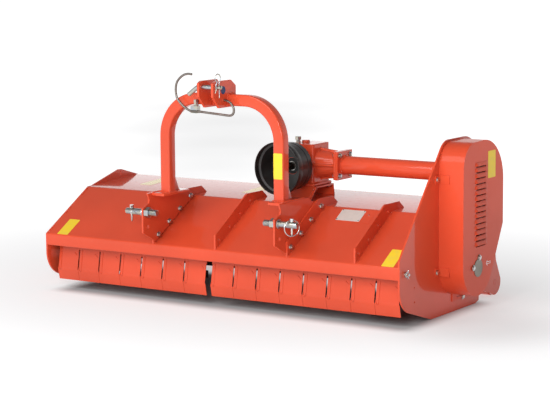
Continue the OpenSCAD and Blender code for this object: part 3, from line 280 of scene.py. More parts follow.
@dataclass(frozen=True)
class Plated(Finish):
    """Zinc plating, with its blue and yellow cast."""

    blue: Point = (0.42, 0.46, 0.50)
    yellow: Point = (0.52, 0.49, 0.40)
    rough: float = 0.22

    def paint(self, bench: Bench) -> dict:
        """Plating that changes between blue and yellow over a few millimetres.

        Args:
            bench: Where the finish's nodes go.

        Returns:
            Values of the main shader's sockets.
        """
        cast = bench.noise(60.0, 2.0).step(0.35, 0.65)
        spots = bench.noise(310.0, 4.0)
        base = bench.blend(cast, rgb(*self.blue), rgb(*self.yellow))
        base = bench.blend(spots.step(0.55, 0.8) * 0.35, base, rgb(0.30, 0.30, 0.29))
        return {"Base Color": base, "Metallic": 1.0, "Roughness": spots * 0.18 + self.rough,
                "Normal": bench.bump(bench.noise(700.0, 3.0), 0.00008, 0.4)}


@dataclass(frozen=True)
class BareSteel(Finish):
    """Steel without paint: turned, drawn or rolled."""

    colour: Point = (0.50, 0.48, 0.46)
    stain: Point = (0.16, 0.11, 0.085)
    stained: float = 0.35
    rough: float = 0.24
    drawn: Point = (30.0, 900.0, 900.0)

    def paint(self, bench: Bench) -> dict:
        """Steel with lines along its drawing direction and darker, browner patches.

        Args:
            bench: Where the finish's nodes go.

        Returns:
            Values of the main shader's sockets.
        """
        lines = bench.noise(1.0, 2.0, bench.stretched(self.drawn))
        patch = bench.noise(16.0, 4.0).step(0.42, 0.72)
        base = bench.blend(patch * self.stained, rgb(*self.colour), rgb(*self.stain))
        rough = lines * 0.14 + patch * 0.12 + self.rough
        return {"Base Color": base, "Metallic": 1.0, "Roughness": rough,
                "Normal": bench.bump(lines, 0.00005, 0.6)}


@dataclass(frozen=True)
class Moulded(Finish):
    """Moulded plastic or rubber."""

    colour: Point = (0.010, 0.009, 0.008)
    bloom: Point = (0.050, 0.036, 0.030)
    rough: float = 0.32
    grain: float = 0.00008

    def paint(self, bench: Bench) -> dict:
        """Dark plastic with a fine grain and a worn bloom.

        Args:
            bench: Where the finish's nodes go.

        Returns:
            Values of the main shader's sockets.
        """
        grain = bench.noise(800.0, 2.0)
        worn = bench.noise(22.0, 5.0).step(0.42, 0.8)
        base = bench.blend(worn * 0.5, rgb(*self.colour), rgb(*self.bloom))
        return {"Base Color": base, "Roughness": worn * 0.16 + self.rough,
                "Normal": bench.bump(grain, self.grain, 0.5)}


@dataclass(frozen=True)
class Foil(Finish):
    """Printed or blank foil of a label."""

    colour: Point = (0.86, 0.58, 0.015)
    metal: float = 0.0
    rough: float = 0.34

    def paint(self, bench: Bench) -> dict:
        """Plain foil with slight fading and scuffs.

        Args:
            bench: Where the finish's nodes go.

        Returns:
            Values of the main shader's sockets.
        """
        fade = bench.noise(45.0, 3.0)
        scuff = bench.noise(1.0, 3.0, bench.stretched((80.0, 900.0, 500.0))).step(0.58, 0.8)
        faded = tuple(0.8 * part + 0.06 for part in self.colour)
        base = bench.blend(fade.step(0.35, 0.75) * 0.5, rgb(*self.colour), rgb(*faded))
        return {"Base Color": base, "Metallic": self.metal, "Roughness": scuff * 0.2 + self.rough,
                "Normal": bench.bump(fade, 0.0001, 0.3), "Specular IOR Level": 0.22}


@dataclass(frozen=True)
class Studio(Finish):
    """Pale paper of the studio floor that glows by itself, with painted shadows as soft darker patches given
    as X, Y, reach and depth.
    """

    colour: Point = (0.50, 0.50, 0.505)
    # Painted glow of the floor near the machine, dimmer there as painted shade, and far from it.
    near: float = 0.49
    far: float = 0.95
    painted_shadows: tuple[tuple[float, float, float, float], ...] = (
        (-2.7, 3.4, 1.1, 0.20), (-3.4, 4.6, 1.4, 0.24), (-4.3, 6.0, 1.7, 0.24),
        (-5.3, 7.6, 1.9, 0.18), (1.12, -0.18, 0.55, 0.28))

    def paint(self, bench: Bench) -> dict:
        """Matte paper with a painted glow that grows brighter with the distance from the machine, and painted
        shadows under and around the machine.

        Args:
            bench: Where the finish's nodes go.

        Returns:
            Values of the main shader's sockets.
        """
        tone = bench.noise(0.8, 2.0)
        base = bench.blend(tone * 0.02, rgb(*self.colour), rgb(0.48, 0.48, 0.48))
        away = bench.add("ShaderNodeVectorMath", {"operation": "LENGTH"},
                         {0: bench.stretched((0.8, 1.0, 1.0))}, out="Value").step(0.3, 3.6)
        spot = bench.place()
        x, y, _ = bench.split(spot)
        # Painted contact shadow: the glow fades almost to black inside the machine's footprint.
        beside = x.maths("ABSOLUTE").step(0.84, 0.97)
        beyond = (y + 0.06).maths("ABSOLUTE").step(0.30, 0.42)
        painted_shadows = (1.0 - beside) * (1.0 - beyond) * 0.97
        # Painted shadow patches, each darkening the glow round one point on the floor.
        for far_x, far_y, reach, depth in self.painted_shadows:
            gap = bench.add("ShaderNodeVectorMath", {"operation": "DISTANCE"},
                            {0: spot, 1: (far_x, far_y, 0.0)}, out="Value")
            painted_shadows = painted_shadows + (1.0 - gap.step(0.15 * reach, reach)) * depth
        # The floor's emission is painted light: it glows like a lamp and lights the machine from below.
        painted_glow = bench.blend(away, rgb(self.near, self.near, self.near), rgb(self.far, self.far, self.far))
        painted_glow = bench.blend(painted_shadows.maths("MINIMUM", 1.0), painted_glow, rgb(0.0, 0.0, 0.0))
        return {"Base Color": base, "Roughness": 0.95, "Specular IOR Level": 0.0, "Emission Color": painted_glow,
                "Emission Strength": 1.0}


class Look(Enum):
    """The finishes of this machine."""

    PAINT = Paint("machine_paint")
    # Painted shade: a dark copy of the machine paint on the rotor tube, standing in for the shade inside the
    # chamber.
    CHAMBER_SHADE_PAINT = Paint("chamber_painted_shade", colour=(0.16, 0.016, 0.009), gloss=0.55)
    COVER_PAINT = Paint("cover_paint", gloss=0.42, coat=0.4)
    CAST_PAINT = Paint("casting_paint", gloss=0.34, cast=0.0007, coat_rough=0.08)
    ZINC = Plated("zinc_plating")
    BRIGHT_ZINC = Plated("bright_zinc", blue=(0.57, 0.59, 0.61), yellow=(0.62, 0.60, 0.54), rough=0.16)
    HOOK_STEEL = BareSteel("drawn_rod", colour=(0.27, 0.245, 0.22), stain=(0.10, 0.07, 0.05),
                           stained=0.5, rough=0.30)
    STEEL = BareSteel("turned_steel")
    HAMMER_STEEL = BareSteel("forged_steel", colour=(0.060, 0.052, 0.046), stain=(0.03, 0.02, 0.016),
                             rough=0.5)
    PLATE_STEEL = BareSteel("rolled_plate", colour=(0.26, 0.235, 0.20), stained=0.30, rough=0.36)
    GREASED_STEEL = BareSteel("greased_steel", colour=(0.09, 0.08, 0.07), stain=(0.03, 0.02, 0.016),
                              stained=0.7, rough=0.34)
    BLACK = Moulded("guard_plastic", colour=(0.014, 0.010, 0.009), bloom=(0.040, 0.028, 0.024), rough=0.30)
    RUBBER = Moulded("rubber", colour=(0.012, 0.012, 0.012), bloom=(0.045, 0.043, 0.04), rough=0.62,
                     grain=0.0004)
    YELLOW = Foil("yellow_foil", colour=(0.86, 0.60, 0.03))
    PALE = Foil("pale_foil", colour=(1.0, 0.82, 0.46), metal=0.45, rough=0.26)
    BLUE = Foil("blue_foil", colour=(0.012, 0.035, 0.14), rough=0.24)
    # Data plate: pale aluminium colour with a painted reflection; the pinkish tone and weak metal stand in
    # for the bright surroundings mirrored in it.
    ALUMINIUM_AND_SHEEN = Foil("plate_foil_and_sheen", colour=(0.78, 0.68, 0.62), metal=0.25, rough=0.42)
    WHITE = Foil("white_foil", colour=(0.85, 0.82, 0.82))
    FLOOR = Studio("studio_floor")

    def material(self) -> bpy.types.Material:
        """The finish's material."""
        return self.value.build()


# ---------------------------------------------------------------- mesh making

class Shop:
    """Turns outlines, copies and trees into finished pieces."""

    FLAT = math.radians(0.4)
    CREASE = math.radians(32.0)
    CRISP = math.radians(40.0)

    @staticmethod
    def stand(name: str, data: bpy.types.ID) -> bpy.types.Object:
        """Puts a new object into the scene.

        Args:
            name: Its name.
            data: Its mesh, lamp or camera.

        Returns:
            The object.
        """
        thing = bpy.data.objects.new(name, data)
        bpy.context.scene.collection.objects.link(thing)
        return thing

    @staticmethod
    def pour(name: str, build: bmesh.types.BMesh) -> bpy.types.Mesh:
        """Makes a mesh of a bmesh.

        Args:
            name: The mesh's name.
            build: The bmesh; it is freed.

        Returns:
            The mesh.
        """
        mesh = bpy.data.meshes.new(name)
        build.to_mesh(mesh)
        build.free()
        return mesh

    @staticmethod
    def settle(name: str, holder: bpy.types.Object) -> bpy.types.Mesh:
        """Applies an object's modifiers and removes it.

        Args:
            name: The result's name.
            holder: The object that carries the modifiers.

        Returns:
            The plain mesh that they make.
        """
        graph = bpy.context.evaluated_depsgraph_get()
        mesh = bpy.data.meshes.new_from_object(holder.evaluated_get(graph))
        mesh.name = name
        holder.modifiers.clear()
        bpy.data.objects.remove(holder)
        return mesh

    @staticmethod
    def hang(name: str, mesh: bpy.types.Mesh, look: Look, body: str = "frame", slot: str = "",
             sharp: float = 32.0, replaces: Iterable[str] = ()) -> None:
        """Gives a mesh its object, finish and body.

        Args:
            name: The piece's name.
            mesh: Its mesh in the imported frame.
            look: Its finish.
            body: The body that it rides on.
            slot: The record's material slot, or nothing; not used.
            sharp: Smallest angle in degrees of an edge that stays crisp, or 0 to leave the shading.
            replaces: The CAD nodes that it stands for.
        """
        mesh.materials.clear()
        mesh.materials.append(look.material())
        if sharp:
            mesh.shade_smooth()
            mesh.set_sharp_from_angle(angle=math.radians(sharp))
        thing = Shop.stand(name, mesh)
        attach(thing, body)
        if replaces:
            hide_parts(*replaces)
        log.info("%s on %s: %d faces", name, body, len(mesh.polygons))

    @staticmethod
    def finish(name: str, build: bmesh.types.BMesh, look: Look, body: str = "frame", slot: str = "",
               sharp: float = 32.0, replaces: Iterable[str] = ()) -> None:
        """Hands a bmesh to the frame and frees it. The other arguments are those of hang()."""
        Shop.tidy(build)
        Shop.hang(name, Shop.pour(name, build), look, body, slot, sharp, replaces)

    @staticmethod
    def tidy(build: bmesh.types.BMesh) -> None:
        """Points every face outwards."""
        bmesh.ops.recalc_face_normals(build, faces=build.faces)

    @staticmethod
    def melted(node: str) -> bmesh.types.BMesh:
        """Copies a CAD node and merges its doubled corners.

        Args:
            node: The node's name.

        Returns:
            The copy.
        """
        build = bmesh.new()
        build.from_mesh(NODES[node].data)
        bmesh.ops.remove_doubles(build, verts=build.verts, dist=2e-6)
        return build

    @staticmethod
    def crisp(node: str, look: Look, body: str = "frame", slot: str = "paint", edge: float = 1.2,
              steps: int = 2) -> None:
        """Replaces a CAD node by a copy whose sharp edges are rounded.

        Args:
            node: The node.
            look: Its finish.
            body: Its body.
            slot: Its material slot.
            edge: Width of the rounding in millimetres.
            steps: Faces across the rounding.
        """
        build = Shop.melted(node)
        bmesh.ops.dissolve_limit(build, angle_limit=Shop.FLAT, verts=build.verts, edges=build.edges,
                                 delimit={"NORMAL"})
        corners = [e for e in build.edges if len(e.link_faces) == 2 and e.calc_face_angle(0.0) > Shop.CREASE]
        bmesh.ops.bevel(build, geom=corners, offset=edge / 1000, offset_type="OFFSET", segments=steps,
                        profile=0.5, affect="EDGES", clamp_overlap=True, miter_outer="ARC")
        bmesh.ops.triangulate(build, faces=[f for f in build.faces if len(f.verts) > 4])
        name = "dressed_" + node
        mesh = Shop.pour(name, build)
        mesh.shade_smooth()
        mesh.set_sharp_from_angle(angle=Shop.CRISP)
        holder = Shop.stand(name + "_rough", mesh)
        weigh = holder.modifiers.new("weigh", "WEIGHTED_NORMAL")
        weigh.weight, weigh.keep_sharp = 100, True
        Shop.hang(name, Shop.settle(name, holder), look, body, slot, 0.0, [node])

    @staticmethod
    def lathe(build: bmesh.types.BMesh, profile: Sequence[Flat], foot: Vector, along: Vector,
              sides: int = 48) -> bmesh.types.BMesh:
        """Adds a turned form.

        Args:
            build: The mesh that it joins.
            profile: Pairs of place along the axis and radius, in millimetres, as a closed loop if it
                doesn't start and end on the axis.
            foot: The axis's start.
            along: The axis's direction.
            sides: Faces round it.

        Returns:
            The same mesh.
        """
        turn = along.to_track_quat("Z", "Y").to_matrix()
        rings: list[list[bmesh.types.BMVert]] = []
        for place, radius in profile:
            count = 1 if radius < 1e-6 else sides
            places = (span(radius * c, radius * s, place) for c, s in circle(count, sides))
            rings.append([build.verts.new(foot + turn @ spot) for spot in places])
        closed = profile[0][1] > 1e-6
        for low, high in list(zip(rings, rings[1:])) + ([(rings[-1], rings[0])] if closed else []):
            for k in range(sides):
                n = (k + 1) % sides
                corners = list(dict.fromkeys((low[k % len(low)], low[n % len(low)], high[n % len(high)],
                                              high[k % len(high)])))
                if len(corners) > 2:
                    build.faces.new(corners)
        return build

    @staticmethod
    def skin(build: bmesh.types.BMesh, rings: Sequence[Sequence[bmesh.types.BMVert]]) -> None:
        """Joins rings of corners into a closed skin.

        Args:
            build: The mesh that holds the corners.
            rings: Rings of equal count, from one end to the other.
        """
        for low, high in zip(rings, rings[1:]):
            for k in range(len(low)):
                n = (k + 1) % len(low)
                build.faces.new((low[k], low[n], high[n], high[k]))
        build.faces.new(rings[0][::-1])
        build.faces.new(rings[-1])

    @staticmethod
    def tube(build: bmesh.types.BMesh, path: Sequence[Vector], radius: float,
             sides: int = 20) -> bmesh.types.BMesh:
        """Adds a round rod along a path, with rounded ends.

        Args:
            build: The mesh that it joins.
            path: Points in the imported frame.
            radius: Its radius in millimetres.
            sides: Faces round it.

        Returns:
            The same mesh.
        """
        size, last = radius / 1000, len(path) - 1
        ways = [(path[min(i + 1, last)] - path[max(i - 1, 0)]).normalized() for i in range(last + 1)]
        across = ways[0].orthogonal().normalized()
        rings = []
        spots = [(path[0] - ways[0] * size * 0.25, 0, 0.7)]
        spots += [(p, i, 1.0) for i, p in enumerate(path)]
        spots += [(path[-1] + ways[-1] * size * 0.25, last, 0.7)]
        for spot, i, share in spots:
            across = (across - ways[i] * across.dot(ways[i])).normalized()
            side = ways[i].cross(across)
            rings.append([build.verts.new(spot + size * share * (across * c + side * s))
                          for c, s in circle(sides, sides)])
        Shop.skin(build, rings)
        return build

    @staticmethod
    def curve(knots: Sequence[Vector], steps: int = 8) -> list[Vector]:
        """Lays a smooth curve through knots.

        Args:
            knots: The knots.
            steps: Points from one knot to the next.

        Returns:
            The curve's points.
        """
        points = []
        for i in range(len(knots) - 1):
            a, b, c, d = knots[max(i - 1, 0)], knots[i], knots[i + 1], knots[min(i + 2, len(knots) - 1)]
            for k in range(steps):
                t = k / steps
                points.append(0.5 * (2 * b + (c - a) * t + (2 * a - 5 * b + 4 * c - d) * t * t
                                     + (3 * b - a - 3 * c + d) * t ** 3))
        return points + [knots[-1]]

    @staticmethod
    def prism(build: bmesh.types.BMesh, outline: Sequence[Vector], depth: Vector) -> bmesh.types.BMesh:
        """Adds a plate with flat ends.

        Args:
            build: The mesh that it joins.
            outline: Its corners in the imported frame.
            depth: From the outline's face to the other face.

        Returns:
            The same mesh.
        """
        low = [build.verts.new(p) for p in outline]
        high = [build.verts.new(p + depth) for p in outline]
        build.faces.new(low)
        build.faces.new(high[::-1])
        for k in range(len(low)):
            n = (k + 1) % len(low)
            build.faces.new((low[n], low[k], high[k], high[n]))
        return build


def circle(count: int, whole: int) -> list[Flat]:
    """The first points of a unit circle that is cut into equal steps."""
    return [ray(360 * k / whole) for k in range(count)]


def rectangle(u0: float, u1: float, v0: float, v1: float) -> tuple[Flat, ...]:
    """Corners of a rectangle, in order."""
    return (u0, v0), (u1, v0), (u1, v1), (u0, v1)


def bent(points: Sequence[Flat], radius: float, steps: int = 5) -> list[Flat]:
    """Rounds the inner corners of a path.

    Args:
        points: The path's corners.
        radius: Distance from a corner at which its bend starts.
        steps: Faces across a bend.

    Returns:
        The path with its bends.
    """
    route = [points[0]]
    for a, b, c in zip(points, points[1:], points[2:]):
        p, q, r = Vector(a), Vector(b), Vector(c)
        start = q + (p - q).normalized() * min(radius, (p - q).length / 2.2)
        end = q + (r - q).normalized() * min(radius, (r - q).length / 2.2)
        for k in range(steps + 1):
            t = k / steps
            route.append(tuple((1 - t) ** 2 * start + 2 * t * (1 - t) * q + t * t * end))
    return route + [points[-1]]


def offset(points: Sequence[Flat], distance: float) -> list[Flat]:
    """Draws a path beside another one.

    Args:
        points: The path.
        distance: How far to its left the new path lies.

    Returns:
        The new path.
    """
    result, last = [], len(points) - 1
    for i, p in enumerate(points):
        a = (Vector(points[min(i + 1, last)]) - Vector(points[min(i, last - 1)])).normalized()
        b = (Vector(points[max(i, 1)]) - Vector(points[max(i - 1, 0)])).normalized()
        left_a, left_b = Vector((-a.y, a.x)), Vector((-b.y, b.x))
        mid = (left_a + left_b).normalized()
        spot = Vector(p) + mid * distance / max(mid.dot(left_a), 0.3)
        result.append((spot.x, spot.y))
    return result


# ---------------------------------------------------------------- geometry node trees

class Grower:
    """Builds a Geometry Nodes tree with named inputs and makes plain meshes with it."""

    def __init__(self, name: str, inputs: dict[str, float]) -> None:
        """Starts a tree.

        Args:
            name: The tree's name.
            inputs: Its number inputs and their usual values, in metres where they are sizes.
        """
        self.tree = bpy.data.node_groups.new(name, "GeometryNodeTree")
        face = self.tree.interface
        face.new_socket("Geometry", in_out="INPUT", socket_type="NodeSocketGeometry")
        face.new_socket("Geometry", in_out="OUTPUT", socket_type="NodeSocketGeometry")
        for key, value in inputs.items():
            face.new_socket(key, in_out="INPUT", socket_type="NodeSocketFloat").default_value = value
        face.new_socket("Finish", in_out="INPUT", socket_type="NodeSocketMaterial")
        self.bench = Bench(self.tree)
        self.door = self.tree.nodes.new("NodeGroupInput")

    def socket(self, name: str) -> Wire:
        """One of the tree's inputs."""
        return Wire(self.bench, self.door.outputs[name])

    def close(self, points: Wire, copy: Wire, **values: Wire) -> None:
        """Ends the tree: a copy on each point, made real, then the finish.

        Args:
            points: Where the copies go.
            copy: The shape that is copied.
            values: Further inputs of the node that sets the copies.
        """
        add = self.bench.add
        shape = add("GeometryNodeInstanceOnPoints", {}, {"Points": points, "Instance": copy, **values})
        real = add("GeometryNodeRealizeInstances", {}, {"Geometry": shape})
        dressed = add("GeometryNodeSetMaterial", {}, {"Geometry": real, "Material": self.socket("Finish")})
        add("NodeGroupOutput", {}, {"Geometry": dressed})

    def grow(self, name: str, seeds: bpy.types.Mesh, look: Look, sizes: dict[str, float],
             slot: str = "zinc", sharp: float = 35.0, replaces: Iterable[str] = ()) -> None:
        """Runs the tree over a mesh of seeds and hands the result to the frame.

        Args:
            name: The piece's name.
            seeds: Points or lines that the tree follows.
            look: The finish.
            sizes: Values of the named inputs.
            slot: The record's material slot.
            sharp: Smallest angle of a crisp edge in degrees.
            replaces: The CAD nodes that it stands for.
        """
        holder = Shop.stand(name + "_seeds", seeds)
        modifier = holder.modifiers.new("grow", "NODES")
        modifier.node_group = self.tree
        values = {**sizes, "Finish": look.material()}
        for item in self.tree.interface.items_tree:
            if item.in_out == "INPUT" and item.name in values:
                modifier[item.identifier] = values[item.name]
        Shop.hang(name, Shop.settle(name, holder), look, "frame", slot, sharp, replaces)


def seed_points(spots: Sequence[tuple[Vector, Vector]]) -> bpy.types.Mesh:
    """Makes a mesh of points that carry a direction.

    Args:
        spots: Pairs of place and direction.

    Returns:
        The mesh, with the direction in the attribute "way".
    """
    mesh = bpy.data.meshes.new("seeds")
    mesh.from_pydata([tuple(p) for p, _ in spots], [], [])
    way = mesh.attributes.new("way", "FLOAT_VECTOR", "POINT")
    way.data.foreach_set("vector", [c for _, d in spots for c in d])
    return mesh


def seed_lines(lines: Sequence[Sequence[Vector]]) -> bpy.types.Mesh:
    """Makes a mesh of open lines.

    Args:
        lines: The points of each line.

    Returns:
        The mesh.
    """
    mesh = bpy.data.meshes.new("seeds")
    points, edges = [], []
    for line in lines:
        first = len(points)
        points += [tuple(p) for p in line]
        edges += [(first + k, first + k + 1) for k in range(len(line) - 1)]
    mesh.from_pydata(points, edges, [])
    return mesh


def hexagon(head: float, height: float, washer: float, tip: float = 0.0) -> dict[str, float]:
    """Inputs of the screw tree, from its sizes in millimetres."""
    return {"Head": head / 1000, "Height": height / 1000, "Washer": washer / 1000, "Tip": tip / 1000}


def screw_tree() -> Grower:
    """Sets a hexagon screw with washer on each point, its head towards the point's direction.

    Returns:
        The tree.
    """
    grower = Grower("hex_screws", hexagon(10.8, 7.8, 13.5))
    add, head, height = grower.bench.add, grower.socket("Head"), grower.socket("Height")
    washer, tip = grower.socket("Washer"), grower.socket("Tip")
    thick = 0.0016

    def raised(kind: str, sides: int, values: dict[str, Wire | float], by: Wire | float) -> Wire:
        """Makes a round shape and moves it up its axis.

        Args:
            kind: Type of the node that makes it.
            sides: Its corners.
            values: Its sizes.
            by: How far it moves.

        Returns:
            The moved shape.
        """
        shape = add(kind, {}, {"Vertices": sides, **values})
        up = add("ShaderNodeCombineXYZ", {}, {"Z": by})
        return add("GeometryNodeTransform", {}, {"Geometry": shape, "Translation": up})

    rod = "GeometryNodeMeshCylinder"
    disc = raised(rod, 24, {"Radius": washer, "Depth": thick}, thick / 2)
    body = raised(rod, 6, {"Radius": head, "Depth": height * 0.8}, height * 0.4 + thick)
    crown = raised("GeometryNodeMeshCone", 24, {
        "Radius Top": head * 0.72, "Radius Bottom": head * 0.90, "Depth": height * 0.2}, height * 0.8 + thick)
    thread = raised(rod, 16, {"Radius": head * 0.52, "Depth": tip}, height + tip * 0.5)
    whole = grower.bench.tree.nodes.new("GeometryNodeJoinGeometry")
    for piece in (thread, crown, body, disc):
        grower.bench.tree.links.new(piece.socket, whole.inputs[0])
    way = add("GeometryNodeInputNamedAttribute", {"data_type": "FLOAT_VECTOR"}, {"Name": "way"})
    turn = add("FunctionNodeAlignRotationToVector", {"axis": "Z"}, {"Vector": way})
    points = add("GeometryNodeMeshToPoints", {}, {"Mesh": grower.socket("Geometry")})
    grower.close(points, Wire(grower.bench, whole.outputs[0]), Rotation=turn)
    return grower


def weld_tree() -> Grower:
    """Lays overlapping weld ripples along lines.

    Returns:
        The tree.
    """
    grower = Grower("weld_beads", {"Pitch": 0.0032, "Radius": 0.0030})
    add, socket = grower.bench.add, grower.socket
    line = add("GeometryNodeMeshToCurve", {}, {"Mesh": socket("Geometry")})
    points = add("GeometryNodeCurveToPoints", {"mode": "LENGTH"}, {"Curve": line, "Length": socket("Pitch")})
    drop = add("GeometryNodeMeshUVSphere", {}, {"Segments": 8, "Rings": 6, "Radius": socket("Radius")})
    size = add("FunctionNodeRandomValue", {"data_type": "FLOAT"}, {"Min": 0.85, "Max": 1.2, "Seed": 7}, out=1)
    grower.close(points, drop, Scale=size)
    return grower


def louvre_tree() -> Grower:
    """Presses one louvre hood at each point, its mouth downwards.

    Returns:
        The tree.
    """
    grower = Grower("louvre_hoods", {"Length": 0.106, "Drop": 0.016, "Depth": 0.0064})
    add, socket = grower.bench.add, grower.socket
    sheet = add("GeometryNodeMeshGrid", {}, {"Size X": 1.0, "Size Y": 1.0, "Vertices X": 41, "Vertices Y": 7})
    along, down, _ = grower.bench.split(add("GeometryNodeInputPosition"))
    ends = 1.0 - (along * 2.0).maths("ABSOLUTE") ** 14.0
    rise = (0.5 - down).maths("MAXIMUM", 0.0) ** 0.75
    spot = add("ShaderNodeCombineXYZ", {}, {
        "X": ends * rise * socket("Depth"), "Y": along * socket("Length"), "Z": down * socket("Drop")})
    hood = add("GeometryNodeSetPosition", {}, {"Geometry": sheet, "Position": spot})
    thick = add("GeometryNodeExtrudeMesh", {"mode": "FACES"}, {
        "Mesh": hood, "Offset Scale": 0.0012, "Individual": False})
    grower.close(add("GeometryNodeMeshToPoints", {}, {"Mesh": socket("Geometry")}), thick)
    return grower


def lay(weld: Grower, name: str, lines: Sequence[Sequence[Vector]], radius: float) -> None:
    """Lays painted weld beads of a radius in millimetres along lines."""
    weld.grow(name, seed_lines(lines), Look.PAINT, {"Radius": radius / 1000}, "paint", 60.0)


# ---------------------------------------------------------------- the machine

@dataclass
class Deck:
    """Folded deck sheet with its side plates and ribs."""

    half: float = 907.0
    sheet: float = 5.0
    fold: float = 7.0
    lip_back: float = 20.0
    lip_z: float = 203.0
    lip_top_z: float = 256.0
    ridge: Flat = (310.0, 434.98)
    rear: Flat = (680.0, 453.98)
    rear_low: float = 242.0
    slope: float = 30.0
    rib_faces: tuple[float, ...] = (-317.5, -309.5, 10.0, 18.0, 373.5, 381.5, 701.0, 709.0)
    rib_stitches: tuple[Flat, ...] = ((6.0, 34.0), (150.0, 178.0), (318.0, 350.0))
    plate_stitches: tuple[Flat, ...] = ((8.0, 60.0), (150.0, 200.0), (290.0, 345.0))
    bead_out: float = 1.5
    bead: float = 2.6

    def on_slope(self, along: float, up: float = 0.0) -> Flat:
        """Place on the slope, from a distance along it and a height above it."""
        c, s = ray(self.slope)
        return (along * c - up * s, self.lip_top_z + along * s + up * c)

    def shell(self) -> None:
        """Deck sheet with rounded folds."""
        path = bent([(self.lip_back, self.lip_z), (0.0, self.lip_z), (0.0, self.lip_top_z), self.ridge,
                     self.rear, (self.rear[0], self.rear_low)], self.fold)
        outline = path + offset(path, -self.sheet)[::-1]
        build = Shop.prism(bmesh.new(), [at(-self.half, y, z) for y, z in outline], span(2 * self.half))
        Shop.finish("deck_sheet", build, Look.PAINT, slot="paint", sharp=24.0, replaces=["deck_shell"])

    def welds(self, weld: Grower) -> None:
        """Weld beads where ribs and plates meet the sheet.

        Args:
            weld: The tree that lays them.
        """
        out = self.bead_out
        rows = [(x + (out if k % 2 else -out), self.rib_stitches) for k, x in enumerate(self.rib_faces)]
        rows += [(x, self.plate_stitches) for x in (-self.half + out, self.half - out)]
        lay(weld, "deck_welds", [[at(x, *self.on_slope(end, 1.0)) for end in stitch]
                                 for x, stitches in rows for stitch in stitches], self.bead)

    def make(self, weld: Grower) -> None:
        """Builds the deck.

        Args:
            weld: The tree of its weld beads.
        """
        self.shell()
        Shop.crisp("side_plate_left", Look.PAINT, edge=1.4)
        Shop.crisp("side_plate_right", Look.PAINT, slot="paint_dark", edge=1.4)
        Shop.crisp("deck_ribs", Look.PAINT)
        self.welds(weld)


